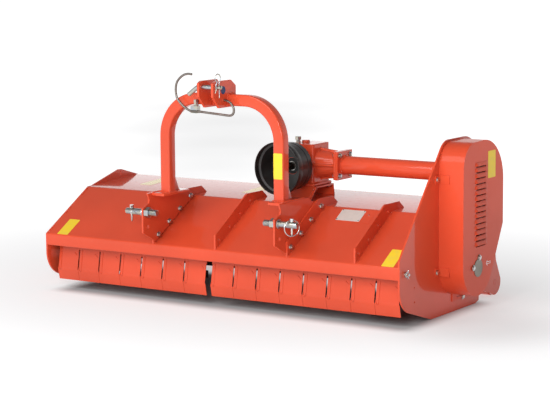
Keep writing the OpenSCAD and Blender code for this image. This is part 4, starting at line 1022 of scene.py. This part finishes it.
@dataclass
class Headstock:
    """Arch of bent square tube with feet, ears, top pin, clip and shaft hook."""

    tube: float = 50.0
    corner: float = 8.0
    legs: Flat = (-259.5, 323.5)
    foot_z: float = 485.0
    top_z: float = 925.0
    bend: float = 170.0
    bend_steps: int = 20
    front: float = 22.0
    feet: tuple[Flat, Flat] = ((-301.5, -234.5), (298.5, 365.5))
    foot_y: Flat = (-20.0, 170.0)
    foot_thick: float = 12.0
    gusset: tuple[Flat, ...] = ((72, 485), (122, 485), (122, 489), (76, 585), (72, 585))
    gusset_thick: float = 8.0
    lug_x: Flat = (-95.0, -76.0)
    lug_y: Flat = (16.0, 24.0)
    lug_z: tuple[float, float, float] = (855.0, 870.5, 890.0)
    notch: Point = (-80.0, 9.6, 11.5)
    notch_from: float = 146.2
    notch_step: float = 9.55
    edge: float = 1.4
    bead: float = 3.1
    gusset_bead: float = 97.0
    ear_bead: float = 48.0
    ear_faces: tuple[float, ...] = (-10.5, 3.0, 61.0, 74.5)
    hitch_x: float = 32.0
    pin: Flat = (-60.0, 958.0)
    pin_ends: Flat = (-21.5, 100.5)
    pin_r: float = 9.45
    handle: float = 57.0
    handle_lean: float = 126.0
    clip_x: float = 87.5
    clip_turn: float = 60.0
    clip_r: float = 2.2
    clip: tuple[Flat, ...] = (
        (0, -43), (0, -14), (0, 8), (0, 22), (5, 32), (6.5, 42), (2, 53), (-6, 57.5), (-14, 54), (-19, 45),
        (-18, 35), (-10, 24), (-14.5, 12), (-14.5, 0), (-14.5, -12), (-19, -22))
    hook_y: float = -2.0
    hook_r: float = 4.95
    hook: tuple[Flat, ...] = (
        (34, -24), (44, -24), (60, -28), (72, -34), (81, -44), (88, -56), (89, -68), (86, -78), (78, -85),
        (64, -88), (20, -85), (-40, -81), (-94, -77), (-112, -77), (-130, -77), (-142, -73), (-159, -65),
        (-175, -54), (-187, -43), (-199, -30), (-206, -15), (-209, 5), (-208, 24), (-204, 40), (-195, 54),
        (-182, 66), (-168, 75), (-152, 80), (-138, 81), (-124, 80))

    def bent_tube(self) -> bmesh.types.BMesh:
        """Sweeps the rounded square section up one leg, round both bends and down the other.

        Returns:
            The tube's mesh.
        """
        mid_y, centre_z = self.front + self.tube / 2, self.top_z - self.tube / 2 - self.bend
        route: list[tuple[Vector, Vector]] = [(at(self.legs[0], mid_y, self.foot_z), RIGHT)]
        for centre_x, first in ((self.legs[0] + self.bend, 180.0), (self.legs[1] - self.bend, 90.0)):
            for k in range(self.bend_steps + 1):
                c, s = ray(first - 90.0 * k / self.bend_steps)
                spot = at(centre_x + self.bend * c, mid_y, centre_z + self.bend * s)
                route.append((spot, Vector((-c, 0, -s))))
        route.append((at(self.legs[1], mid_y, self.foot_z), LEFT))
        half, r = self.tube / 2 - self.corner, self.corner
        section = [(sx * half + r * c, sy * half + r * s)
                   for sx, sy, first in ((1, 1, 0), (-1, 1, 90), (-1, -1, 180), (1, -1, 270))
                   for c, s in (ray(first + 15 * k) for k in range(7))]
        build = bmesh.new()
        Shop.skin(build, [[build.verts.new(spot + inward * u / 1000 + span(y=v)) for u, v in section]
                          for spot, inward in route])
        return build

    def plates(self) -> bmesh.types.BMesh:
        """Cuts the feet, the gussets and the lug with its notch for the hook's clamp.

        Returns:
            Their mesh.
        """
        build = bmesh.new()
        for x0, x1 in self.feet:
            corners = rectangle(x0, x1, *self.foot_y)
            Shop.prism(build, [at(x, y, self.foot_z - self.foot_thick) for x, y in corners],
                       span(z=self.foot_thick))
        for x in self.legs:
            Shop.prism(build, [at(x - self.gusset_thick / 2, y, z) for y, z in self.gusset],
                       span(self.gusset_thick))
        lug = rectangle(*self.lug_x, *self.lug_y)
        x, y, r = self.notch
        round_cut = [(x + r * c, y + r * s) for c, s in (ray(self.notch_from - self.notch_step * k)
                                                    for k in range(9))]
        low, middle, high = self.lug_z
        Shop.prism(build, [at(x, y, low) for x, y in lug], span(z=middle - low))
        cut = (lug[0], *round_cut, *lug[2:])
        Shop.prism(build, [at(x, y, middle) for x, y in cut], span(z=high - middle))
        Shop.tidy(build)
        bmesh.ops.bevel(build, geom=build.edges[:], offset=self.edge / 1000, clamp_overlap=True, segments=2,
                        profile=0.5, affect="EDGES")
        return build

    def arch(self) -> None:
        """Bent tube with its plates as one piece."""
        build = self.bent_tube()
        build.from_mesh(Shop.pour("plates", self.plates()))
        Shop.finish("arch", build, Look.PAINT, slot="paint", sharp=30.0, replaces=["headstock_arch"])

    def welds(self, weld: Grower) -> None:
        """Beads round the legs' feet, along the gussets and where the ears meet the tube.

        Args:
            weld: The tree that lays them.
        """
        lines, z, half = [], self.foot_z + 1, self.tube / 2 + 1
        y0, y1, y2 = self.front - 1, self.front + self.tube + 1, self.gusset[1][0] - 2
        for x in self.legs:
            a, b = x - half, x + half
            lines.append([at(px, py, z) for px, py in ((a, y0), (b, y0), (b, y1), (x + 6, y1))])
            lines.append([at(px, py, z) for px, py in ((a, y0), (a, y1), (x - 6, y1))])
            for side in (-5.0, 5.0):
                lines.append([at(x + side, y1, z), at(x + side, y2, z)])
                lines.append([at(x + side, y1, z + 5), at(x + side, y1, z + self.gusset_bead)])
        for x in (self.feet[0][0] + 1.0, self.feet[1][1] - 1.0):
            lines.append([at(x, self.foot_y[0] + 8, z), at(x, self.foot_y[1] - 8, z)])
        for x in self.ear_faces:
            lines.append([at(x, y0, self.top_z - 1 - self.ear_bead), at(x, y0, self.top_z - 1)])
            lines.append([at(x, y, self.top_z + 1) for y in (self.front, self.front + self.ear_bead)])
        lay(weld, "headstock_welds", lines, self.bead)

    def top_pin(self) -> None:
        """Plated pin with its bent handle, and the spring clip through its end."""
        y, z = self.pin
        start, end = self.pin_ends
        c, s = ray(self.handle_lean)
        tip = (start - self.handle * s, z + self.handle * c)
        corners = [(end - 4, z), (start + 30, z), (start + 9, z), (start, z - 1.4), (start - 7, z - 5.2),
                   (start + (tip[0] - start) * 0.6, z + (tip[1] - z) * 0.6), tip]
        build = Shop.tube(bmesh.new(), Shop.curve([at(u, y, v) for u, v in corners], 6), self.pin_r, 32)
        Shop.finish("top_link_pin", build, Look.ZINC, "top_pin", "zinc", 40.0, ["top_pin"])
        c, s = ray(self.clip_turn)
        knots = [at(self.clip_x + u * c, y + u * s, z + v) for u, v in self.clip]
        build = Shop.tube(bmesh.new(), Shop.curve(knots, 6), self.clip_r, 14)
        Shop.finish("spring_clip", build, Look.ZINC, "clip", "zinc", 50.0, ["top_pin_clip"])

    def hooks(self) -> None:
        """Bent rod that carries the shaft, and its clamp."""
        knots = [at(self.hitch_x + u, self.hook_y, self.top_z + v) for u, v in self.hook]
        build = Shop.tube(bmesh.new(), Shop.curve(knots, 5), self.hook_r, 24)
        Shop.finish("shaft_rod", build, Look.HOOK_STEEL, slot="steel", sharp=50.0, replaces=["shaft_hook"])
        Shop.crisp("hook_clamp", Look.ZINC, slot="zinc", edge=0.7)

    def make(self, weld: Grower) -> None:
        """Builds the headstock.

        Args:
            weld: The tree of its weld beads.
        """
        self.arch()
        Shop.crisp("clevis_ears", Look.PAINT, edge=1.6)
        self.welds(weld)
        self.top_pin()
        self.hooks()


@dataclass
class Hitch:
    """Bolted brackets with the lower hitch pins and lynch pins."""

    pin_y: float = -61.0
    pin_z: float = 404.5
    sides: tuple[tuple[float, int], ...] = ((-309.5, -1), (373.5, 1))
    collar: Flat = (21.0, 10.0)
    stud: Flat = (13.5, 67.0)
    turns: int = 16
    turn_first: float = -65.2
    turn_pitch: float = 2.5
    length: float = 88.0
    radius: float = 14.0
    ring: float = 33.6
    ring_wire: float = 2.2
    ring_turn: float = 57.0
    hinge_up: float = 21.5
    lynch_x: Flat = (-378.5, 442.5)
    bolt_x: Flat = (-301.5, 381.5)
    bolt_first: float = 42.8
    bolt_pitch: float = 94.6
    bolt_up: float = 22.0
    bolt_grip: float = 16.0

    def pins(self) -> None:
        """Turned pins with collar, chamfers and threaded studs."""
        build = bmesh.new()
        r, c, w, t = self.radius, self.collar[0], self.collar[1], self.stud[0]
        end = w + self.length
        profile = [(-self.stud[1], 0.0), (-self.stud[1], t - 2.4)]
        for k in range(self.turns):
            foot = self.turn_first + self.turn_pitch * k
            profile += [(foot, t - 0.05), (foot + 0.7, t - 0.05), (foot + 1.85, t - 1.3)]
        profile += [(-24.0, t - 0.05), (0.0, t - 0.05), (0.0, 16.0), (0.8, 16.9), (5.2, c - 1.0), (6.8, c),
                    (w - 1.2, c), (w, c - 1.2), (w, r + 0.3), (w + 0.7, r - 0.5), (w + 1, r - 0.5),
                    (w + 1.4, r), (w + 48.6, r), (w + 49.1, r - 0.5), (end - 3.2, r - 0.5),
                    (end - 2.4, r - 0.9), (end - 0.4, r - 3.0), (end, r - 3.6), (end, 0.0)]
        for x, side in self.sides:
            Shop.lathe(build, profile, at(x, self.pin_y, self.pin_z), Vector((side, 0, 0)))
        Shop.finish("hitch_pins", build, Look.ZINC, slot="zinc", sharp=30.0, replaces=["lower_pins"])
        Shop.crisp("lower_pin_nuts", Look.ZINC, slot="zinc", edge=1.6)

    def lynch(self) -> None:
        """Lynch pins with drilled heads, and their spring rings closed round the hitch pins."""
        for name, x, turn in zip(("left", "right"), self.lynch_x, (-self.ring_turn, self.ring_turn)):
            Shop.crisp("lynch_pin_" + name, Look.BRIGHT_ZINC, "lynch_" + name, "zinc", 0.9, 3)
            centre = at(x, self.pin_y, self.pin_z + self.hinge_up - self.ring)
            level = Vector((*ray(turn), 0))
            loop = [centre + self.ring / 1000 * (Vector((0, 0, c)) + level * s) for c, s in circle(73, 72)]
            build = Shop.tube(bmesh.new(), loop, self.ring_wire, 12)
            Shop.finish("spring_ring_" + name, build, Look.BRIGHT_ZINC, "ring_" + name, "zinc", 50.0,
                        ["lynch_ring_" + name])

    def make(self, screw: Grower, deck: Deck) -> None:
        """Builds the hitch.

        Args:
            screw: The tree of its screws.
            deck: The deck that it is bolted to.
        """
        Shop.crisp("hitch_brackets", Look.PAINT)
        self.pins()
        self.lynch()
        heads = [(x, *deck.on_slope(self.bolt_first + self.bolt_pitch * k, self.bolt_up))
                 for k in range(4) for x in self.bolt_x]
        screw.grow("bracket_screws", seed_points([(at(*head), RIGHT) for head in heads]),
                   Look.BRIGHT_ZINC, hexagon(10.4, 7.4, 12.5, 2.0), replaces=["bracket_bolts"])
        screw.grow("bracket_nuts", seed_points([(at(x - self.bolt_grip, y, z), LEFT) for x, y, z in heads]),
                   Look.BRIGHT_ZINC, hexagon(10.4, 8.5, 12.5, 5.0))


@dataclass
class Drive:
    """Angle gearbox on its pedestal, the cross tube and the shaft guard."""

    x: float = 194.0
    y: float = 480.0
    z: float = 594.0
    voxel: float = 2.4
    mouth_y: float = 215.0
    neck_y: float = 339.6
    guard_r: float = 105.0
    guard_deep: float = 125.0
    guard_hole: float = 37.0
    flange_x: float = 353.0
    flanges: float = 24.0
    pitch: float = 44.0
    cover_x: float = 120.0
    cover_y: float = 558.0
    cover_r: float = 46.0
    base_half: float = 67.0
    base_y: Flat = (424.0, 532.0)
    base_z: float = 492.0
    tube_r: float = 41.0
    tube_x: Flat = (378.0, 906.0)
    bead: float = 3.0
    pedestal_x: Flat = (101.0, 269.0)
    pedestal: tuple[Flat, ...] = ((398, 494), (380, 476), (350, 446))

    def casting(self) -> None:
        """Gearbox with soft casting corners."""
        holder = Shop.stand("casting", Shop.pour("casting", Shop.melted("gearbox_housing")))
        remesh = holder.modifiers.new("remesh", "REMESH")
        remesh.mode, remesh.voxel_size, remesh.adaptivity = "VOXEL", self.voxel / 1000, 0.0
        smooth = holder.modifiers.new("smooth", "SMOOTH")
        smooth.iterations, smooth.factor = 6, 0.5
        soft = Shop.settle("gear_casting", holder)
        Shop.hang("gear_casting", soft, Look.CAST_PAINT, "frame", "paint", 0.0, ["gearbox_housing"])
        soft.shade_smooth()

    def guard(self) -> None:
        """Moulded tube with its stepped mouth, and the rubber seal on the gearbox's neck behind it."""
        r, d, hole = self.guard_r, self.guard_deep, self.guard_hole
        profile = [(0, r + 7.5), (0.8, r + 9.4), (3, r + 10), (28, r + 10), (31, r + 9), (33, r + 3), (35, r),
                   (88, r), (90, r - 1.6), (93, r - 1.6), (95, r), (d - 3, r), (d, r - 3), (d, hole),
                   (d - 4, hole), (d - 4, r - 8), (d - 8, r - 4), (31, r - 4), (28, r + 5.4), (2, r + 5.8)]
        build = Shop.lathe(bmesh.new(), profile, at(self.x, self.mouth_y, self.z), BACK, 96)
        Shop.finish("shaft_guard", build, Look.BLACK, slot="black_plastic", sharp=28.0,
                    replaces=["pto_guard"])
        profile = [(0.4, 20.5), (0.4, 35.5), (-1.2, 34.5), (-2.4, 30), (-2.4, 22), (-1.4, 20.5)]
        build = Shop.lathe(bmesh.new(), profile, at(self.x, self.neck_y, self.z), BACK, 64)
        Shop.finish("shaft_seal", build, Look.RUBBER, sharp=34.0)

    def fixings(self, screw: Grower) -> None:
        """Flange, cover and pedestal screws.

        Args:
            screw: The tree that sets them.
        """
        spots = []
        for i in (-1, 1):
            for j in (-1, 1):
                y, z = self.y + i * self.pitch, self.z + j * self.pitch
                spots.append((at(self.flange_x, y, z), LEFT))
                spots.append((at(self.flange_x + self.flanges, y, z), RIGHT))
        for k in range(6):
            u, v = (self.cover_r * part for part in ray(30 + 60 * k))
            spots.append((at(self.cover_x, self.y + u, self.z + v), LEFT))
            spots.append((at(self.x + u, self.cover_y, self.z + v), BACK))
        spots += [(at(self.x + side * self.base_half, y, self.base_z), DOWN)
                  for side in (-1, 1) for y in self.base_y]
        screw.grow("gearbox_screws", seed_points(spots), Look.ZINC, hexagon(9.2, 6.6, 11.2, 1.0),
                   replaces=["gearbox_bolts"])

    def make(self, screw: Grower, weld: Grower) -> None:
        """Builds the drive.

        Args:
            screw: The tree of its screws.
            weld: The tree of its weld beads.
        """
        self.casting()
        self.guard()
        self.fixings(screw)
        Shop.crisp("pedestal", Look.PAINT, edge=1.5)
        Shop.crisp("cross_tube", Look.PAINT)
        Shop.crisp("gearbox_plugs", Look.ZINC, slot="zinc", edge=0.8)
        lines = [[at(x, y, z) for y, z in self.pedestal] for x in self.pedestal_x]
        lines += [[at(x, self.y + self.tube_r * c, self.z + self.tube_r * s) for c, s in circle(41, 40)]
                  for x in self.tube_x]
        lay(weld, "drive_welds", lines, self.bead)


@dataclass
class BeltCover:
    """Cover over the belts, with louvres, tabs and the inspection plate."""

    louvre_x: float = 1029.0
    louvre_y: float = 497.0
    louvres: int = 15
    pitch: float = 24.0
    first_z: float = 300.0
    plate_x: float = 1032.0
    pivot: Flat = (482.0, 240.0)
    lock: Flat = (426.0, 203.0)
    tab_faces: Flat = (919.0, 907.0)
    tab_y: float = 316.0
    tab_z: Flat = (581.0, 191.0)
    low_tab: Flat = (552.0, 51.5)
    skid_x: float = 915.0
    skid_y: Flat = (630.0, 662.0)
    skid_z: float = 124.0

    def make(self, screw: Grower, louvre: Grower) -> None:
        """Builds the cover.

        Args:
            screw: The tree of its screws.
            louvre: The tree of its louvres.
        """
        Shop.crisp("belt_cover", Look.COVER_PAINT, slot="paint_dark", edge=1.8, steps=3)
        spots = [(at(self.louvre_x, self.louvre_y, self.first_z + self.pitch * k), RIGHT)
                 for k in range(self.louvres)]
        louvre.grow("louvre_hoods", seed_points(spots), Look.COVER_PAINT, {}, "paint_dark", 30.0)
        Shop.crisp("inspection_plate", Look.PLATE_STEEL, "view_plate", "steel", 0.5)
        spots = [(at(x, self.tab_y, z), way)
                 for x, way in zip(self.tab_faces, (RIGHT, LEFT)) for z in self.tab_z]
        spots += [(at(self.plate_x, *self.pivot), RIGHT), (at(self.plate_x, *self.lock), RIGHT)]
        spots += [(at(self.tab_faces[0], *self.low_tab), RIGHT)]
        spots += [(at(side * self.skid_x, y, self.skid_z), way)
                  for side, way in ((-1, LEFT), (1, RIGHT)) for y in self.skid_y]
        screw.grow("cover_screws", seed_points(spots), Look.BRIGHT_ZINC, hexagon(9.5, 4.3, 11.5),
                   replaces=["cover_bolts"])


@dataclass
class Flaps:
    """Front flaps, each on its own body, and the rod that they hang on."""

    left: float = -907.0
    first: float = 23.0
    last: float = 15.0
    gap: float = 26.0
    groups: tuple[int, int] = (7, 8)
    play: float = 1.2
    rod: Flat = (47.0, 224.0)
    rod_r: float = 6.0
    rod_half: float = 935.0
    boss_x: float = 915.0
    split_out: float = 13.0
    split_lean: float = 0.35
    split_wire: float = 1.4
    knuckle: float = 22.0
    path: tuple[Flat, ...] = ((51.0, 216.0), (60.0, 200.0), (42.0, 92.0), (53.0, 43.0))
    bend: float = 9.0
    sheet: float = 3.0
    slot_z: Flat = (95.0, 183.0)
    slot_half: float = 3.0
    lip: float = 17.0
    lip_wire: float = 2.2
    dash: tuple[Flat, Flat] = ((26.0, 170.0), (12.0, 158.0))
    dash_wire: float = 2.0
    sunk: float = 0.2

    @property
    def pitch(self) -> float:
        """Distance from one flap to the next."""
        return (-2 * self.left - self.first - self.last - self.gap) / sum(self.groups)

    def surface(self, z: float) -> float:
        """Depth of the front face at a height.

        Args:
            z: The height.

        Returns:
            The depth.
        """
        for (y0, z0), (y1, z1) in zip(self.path, self.path[1:]):
            if z1 <= z <= z0:
                return y0 + (y1 - y0) * (z0 - z) / (z0 - z1)
        return self.path[0][0]

    def flap(self, index: int) -> None:
        """One flap with its knuckles, its slot's pressed lip and its pressed dash.

        Args:
            index: Its place from the left, from 0.
        """
        start = self.left + self.first + index * self.pitch + (self.gap if index >= self.groups[0] else 0)
        x0, x1 = start + self.play / 2, start + self.pitch - self.play / 2
        build = bmesh.new()
        route = bent(self.path, self.bend, 4)
        (head, top), bottom = route[0], route[-1][1]

        def panel(xa: float, xb: float, low: float, high: float) -> None:
            """Adds the stretch of the bent sheet between two heights.

            Args:
                xa: Its left edge.
                xb: Its right edge.
                low: Its lower end.
                high: Its upper end.
            """
            ends = [(self.surface(z) if z < top else head, z) for z in (high, low)]
            line = [ends[0]] + [p for p in route if low < p[1] < high] + [ends[1]]
            loop = line + offset(line, self.sheet)[::-1]
            Shop.prism(build, [at(xa, y, z) for y, z in loop], span(xb - xa))

        inner0, inner1 = x0 + self.slot_half, x1 - self.slot_half
        panel(inner0, inner1, bottom, top)
        for xa, xb in ((x0, inner0), (inner1, x1)):
            panel(xa, xb, bottom, self.slot_z[0])
            panel(xa, xb, self.slot_z[1], top)
        w = self.knuckle
        for xa in (x0, x1 - w):
            Shop.lathe(build, [(0, 6.2), (0, 9.4), (0.6, 10), (w - 0.6, 10), (w, 9.4), (w, 6.2)],
                       at(xa, *self.rod), RIGHT, 24)
        Shop.tube(build, self.lip_line(x0), self.lip_wire, 10)
        dash = [at(x1 - u, self.surface(z) - self.sunk, z) for u, z in self.dash]
        Shop.tube(build, dash, self.dash_wire, 10)
        name = f"flap_{index + 1:02d}"
        Shop.finish("dressed_" + name, build, Look.PAINT, name, "paint", 28.0, [name])

    def lip_line(self, x0: float) -> list[Vector]:
        """Crest of the U-shaped lip that is pressed beside the slot at a flap's left edge.

        Args:
            x0: The flap's left edge.

        Returns:
            The crest's points.
        """
        low, high = self.slot_z[0] - 5, self.slot_z[1] + 1
        outer, inner = x0 + self.lip, x0 + self.slot_half + 1.2
        radius = (outer - inner) / 2
        points = [(outer, high - 1), (outer, (low + high) / 2), (outer, low + radius)]
        points += [(inner + radius * (1 + c), low + radius * (1 + s))
                   for c, s in (ray(-18 * k) for k in range(1, 10))]
        points += [(inner, low + radius), (inner, low + radius + 8)]
        return [at(x, self.surface(z) - self.sunk, z) for x, z in points]

    def rod_ends(self) -> None:
        """Rod with its end bosses and split pins."""
        r, length = self.rod_r, 2 * self.rod_half
        rod_y, rod_z = self.rod
        profile = [(0, 0), (0, r - 1), (1, r), (length - 1, r), (length, r - 1), (length, 0)]
        build = Shop.lathe(bmesh.new(), profile, at(-self.rod_half, *self.rod), RIGHT, 28)
        for side in (-1, 1):
            x = side * self.boss_x
            Shop.lathe(build, [(0, r), (0, 12), (6.8, 12), (8, 10.8), (8, r)], at(x, *self.rod),
                       Vector((side, 0, 0)), 32)
            for lean in (-self.split_lean, self.split_lean):
                leg = [at(x + side * self.split_out, rod_y + y, rod_z + z)
                       for y, z in ((15 * lean, 19), (0, 6), (0, -8), (-26 * lean, -18))]
                Shop.tube(build, Shop.curve(leg, 5), self.split_wire, 10)
        Shop.finish("hanging_rod", build, Look.BRIGHT_ZINC, slot="zinc", sharp=34.0, replaces=["flap_rod"])

    def make(self) -> None:
        """Builds all flaps."""
        for index in range(sum(self.groups)):
            self.flap(index)
        self.rod_ends()


@dataclass
class Running:
    """Roller, its arms, the rotor and the belt tensioner."""

    rounded: tuple[tuple[str, Look, str, str, float], ...] = (
        ("roller_arms", Look.PAINT, "roller_frame", "paint_dark", 1.2),
        ("roller", Look.PAINT, "roller", "paint_dark", 1.5),
        # The rotor tube wears the dark painted shade of the chamber.
        ("rotor_tube", Look.CHAMBER_SHADE_PAINT, "rotor", "paint_dark", 1.0),
        ("hammers", Look.HAMMER_STEEL, "rotor", "steel", 2.0),
        ("rotor_bearings", Look.PAINT, "frame", "steel", 1.5),
        ("tensioner_arm", Look.STEEL, "tensioner", "steel", 1.0))

    def make(self) -> None:
        """Dresses the running gear."""
        for node, look, body, slot, edge in self.rounded:
            Shop.crisp(node, look, body, slot, edge)


class Side(Enum):
    """Surfaces that carry labels, as their outward directions."""

    SLOPE = (0.0, -math.sin(math.radians(30)), math.cos(math.radians(30)))
    TOP = (0.0, -0.0513, 0.9987)
    LEG = (0.0, -1.0, 0.0)
    COVER = (1.0, 0.0, 0.0)


@dataclass
class Labels:
    """Plain labels, the blank data plate, its rivets, the plain arrow and the ear's disc."""

    thick: float = 0.5
    corner: float = 4.0
    deck: Deck = field(default_factory=Deck)
    leg_y: float = 22.0
    cover_x: float = 1029.0
    patches: tuple[tuple[str, Look, Side, Flat, Flat, float], ...] = (
        ("label_slope_left", Look.YELLOW, Side.SLOPE, (-852, -793), (4, 114), 0.1),
        ("label_slope_right", Look.YELLOW, Side.SLOPE, (827, 884), (4, 114), 0.1),
        ("label_leg", Look.YELLOW, Side.LEG, (302, 345), (578, 687), 0.1),
        ("label_cover", Look.YELLOW, Side.COVER, (561, 630), (567, 682), 0.1),
        ("label_top_left", Look.PALE, Side.TOP, (-713, -649), (445, 626), 0.1),
        ("label_top_middle", Look.PALE, Side.TOP, (-141, -77), (445, 626), 0.1),
        ("plate_backing", Look.PAINT, Side.SLOPE, (466, 640), (262, 352), 0.1),
        # The data plate's pale pinkish colour is partly a painted reflection.
        ("data_plate", Look.ALUMINIUM_AND_SHEEN, Side.SLOPE, (475, 590), (270, 344), 0.6))
    rivets: tuple[Flat, ...] = ((480, 275), (585, 275), (480, 339), (585, 339), (615, 318))
    rivet_up: float = 0.8
    arrow: tuple[Flat, ...] = (
        (548, 206), (560, 194), (560, 201), (590, 201), (590, 211), (560, 211), (560, 218))
    heart: tuple[Flat, ...] = (
        (551.8, 206), (557.6, 200.2), (557.6, 203.4), (587.6, 203.4), (587.6, 208.6), (557.6, 208.6),
        (557.6, 211.8))
    disc: Point = (73.6, -10.0, 944.0)
    disc_r: float = 17.0

    def spot(self, side: Side, u: float, v: float, lift: float) -> Vector:
        """Finds a place on a surface.

        Args:
            side: The surface.
            u: Place across it: X, or Y on the cover.
            v: Place along it: up the slope, Y on the top, or Z.
            lift: Height above it.

        Returns:
            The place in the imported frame.
        """
        if side is Side.SLOPE:
            return at(u, *self.deck.on_slope(v, lift))
        if side is Side.TOP:
            (y0, z0), (y1, z1) = self.deck.ridge, self.deck.rear
            return at(u, v, z0 + (v - y0) * (z1 - z0) / (y1 - y0) + lift)
        if side is Side.LEG:
            return at(u, self.leg_y - lift, v)
        return at(self.cover_x + lift, u, v)

    def patch(self, name: str, look: Look, side: Side, us: Flat, vs: Flat, lift: float) -> None:
        """One flat patch with rounded corners.

        Args:
            name: Its name.
            look: Its finish.
            side: The surface that carries it.
            us: Its ends across the surface.
            vs: Its ends along the surface.
            lift: Its back's height above the surface.
        """
        up = Vector(side.value)
        corners = [self.spot(side, u, v, lift) for u, v in rectangle(*us, *vs)]
        build = Shop.prism(bmesh.new(), corners, up * self.thick / 1000)
        Shop.tidy(build)
        upright = [e for e in build.edges
                   if abs((e.verts[0].co - e.verts[1].co).normalized().dot(up)) > 0.9]
        bmesh.ops.bevel(build, geom=upright, offset=self.corner / 1000, segments=4, profile=0.5,
                        affect="EDGES")
        Shop.finish(name, build, look, sharp=30.0)

    def make(self, screw: Grower) -> None:
        """Sticks every label on.

        Args:
            screw: The tree that sets the rivets.
        """
        for row in self.patches:
            self.patch(*row)
        up = Vector(Side.SLOPE.value)
        rivets = [(self.spot(Side.SLOPE, x, s, self.rivet_up), up) for x, s in self.rivets]
        screw.grow("plate_rivets", seed_points(rivets), Look.BRIGHT_ZINC, hexagon(2.0, 1.2, 3.0))
        for name, look, outline, lift in (("arrow", Look.WHITE, self.arrow, 0.1),
                                          ("arrow_heart", Look.COVER_PAINT, self.heart, 0.3)):
            corners = [self.spot(Side.COVER, y, z, lift) for y, z in outline]
            Shop.finish(name, Shop.prism(bmesh.new(), corners, span(self.thick)), look, sharp=30.0)
        r, t = self.disc_r, self.thick
        build = Shop.lathe(bmesh.new(), [(0, 0), (0, r), (t, r), (t, 0)], at(*self.disc), RIGHT)
        Shop.finish("ear_disc", build, Look.BLUE, sharp=30.0)


@dataclass
class Room:
    """Floor, lights and camera."""

    floor_half: float = 90.0
    floor_z: float = -0.0005
    eye: Point = (4562.2, -6605.2, 1591.3)
    azimuth: float = 32.7
    elevation: float = 8.14
    roll: float = 0.43
    lens: float = 124.36
    sensor: float = 36.0
    lamps: tuple[tuple[str, Point, Point, Flat, float], ...] = (
        ("key", (-0.7, -6.3, 5.4), (0.1, 0, 0.3), (5.5, 3.5), 325.0),
        ("fill", (1.9, -4.6, 1.7), (0.7, 0, 0.4), (1.4, 1.4), 92.0),
        ("strip", (3.4, -3.8, 2.4), (0.5, 0, 0.5), (0.22, 2.6), 12.0))

    def floor(self) -> None:
        """Wide pale floor with a grid so that it stays flat and whole."""
        build = bmesh.new()
        bmesh.ops.create_grid(build, x_segments=8, y_segments=8, size=self.floor_half)
        mesh = Shop.pour("studio_floor", build)
        mesh.materials.append(Look.FLOOR.material())
        thing = Shop.stand("studio_floor", mesh)
        thing.location = (0, 0, self.floor_z)

    def lamp(self, name: str, place: Point, target: Point, size: Flat, power: float) -> None:
        """One softbox.

        Args:
            name: Its name.
            place: Where it hangs, in metres.
            target: What it looks at.
            size: Its width and height.
            power: Its power in watts.
        """
        light = bpy.data.lights.new(name, "AREA")
        light.shape, light.size, light.size_y = "RECTANGLE", size[0], size[1]
        light.energy = power
        thing = Shop.stand(name, light)
        thing.location = place
        thing.rotation_euler = (Vector(target) - Vector(place)).to_track_quat("-Z", "Y").to_euler()

    def sky(self) -> None:
        """Soft surroundings: a white band along the horizon, dim overhead and on the machine's right."""
        world = bpy.data.worlds.new("studio")
        bpy.context.scene.world = world
        world.use_nodes = True
        world.node_tree.nodes.clear()
        bench = Bench(world.node_tree)
        x, y, z = bench.split(bench.add("ShaderNodeTexCoord", out="Generated"))
        band = bench.blend((y * 0.8 - x * 0.6).step(0.0, 0.8), rgb(1.0, 0.995, 0.99), rgb(1.3, 1.29, 1.29))
        tone = bench.blend(z.step(0.10, 0.60), band, rgb(0.22, 0.22, 0.225))
        tone = bench.blend((x * 0.95 - y * 0.1).step(0.15, 0.85) * 0.85, tone, rgb(0.10, 0.10, 0.105))
        shade = bench.add("ShaderNodeBackground", {}, {"Color": tone, "Strength": 1.0})
        bench.add("ShaderNodeOutputWorld", {}, {"Surface": shade})

    def camera(self) -> None:
        """The photograph's camera."""
        (ca, sa), (ce, se), (cr, sr) = ray(self.azimuth), ray(self.elevation), ray(self.roll)
        ahead, right = Vector((-sa * ce, ca * ce, -se)), Vector((ca, sa, 0.0))
        down = ahead.cross(right)
        right, down = cr * right + sr * down, -sr * right + cr * down
        lens = bpy.data.cameras.new("camera")
        lens.sensor_width, lens.lens, lens.clip_end = self.sensor, self.lens, 400.0
        thing = Shop.stand("camera", lens)
        turn = Matrix((right, -down, -ahead)).transposed().to_4x4()
        thing.matrix_world = Matrix.Translation(at(*self.eye)) @ turn
        bpy.context.scene.camera = thing

    def make(self) -> None:
        """Builds the room."""
        self.floor()
        self.sky()
        self.camera()
        for row in self.lamps:
            self.lamp(*row)
        settings = bpy.context.scene.view_settings
        settings.view_transform, settings.look = "Standard", "None"


PLAIN_NODES: dict[Look, tuple[str, ...]] = {
    Look.STEEL: ("drive_bearings", "rotor_pulley", "input_gear", "output_shaft", "output_gear",
                 "drive_pulley", "idler_pulley"),
    Look.RUBBER: ("rear_curtain", "v_belts"), Look.GREASED_STEEL: ("input_shaft",),
}


def main() -> None:
    """Builds the room and every sub-assembly in order."""
    logging.basicConfig(level=logging.INFO, format="%(message)s")
    screw, weld, louvre = screw_tree(), weld_tree(), louvre_tree()
    Room().make()
    for look, nodes in PLAIN_NODES.items():
        for node in nodes:
            NODES[node].data.materials.clear()
            NODES[node].data.materials.append(look.material())
    deck = Deck()
    deck.make(weld)
    Headstock().make(weld)
    Hitch().make(screw, deck)
    Drive().make(screw, weld)
    BeltCover().make(screw, louvre)
    Flaps().make()
    Running().make()
    Labels(deck=deck).make(screw)


if __name__ == "__main__":
    main()
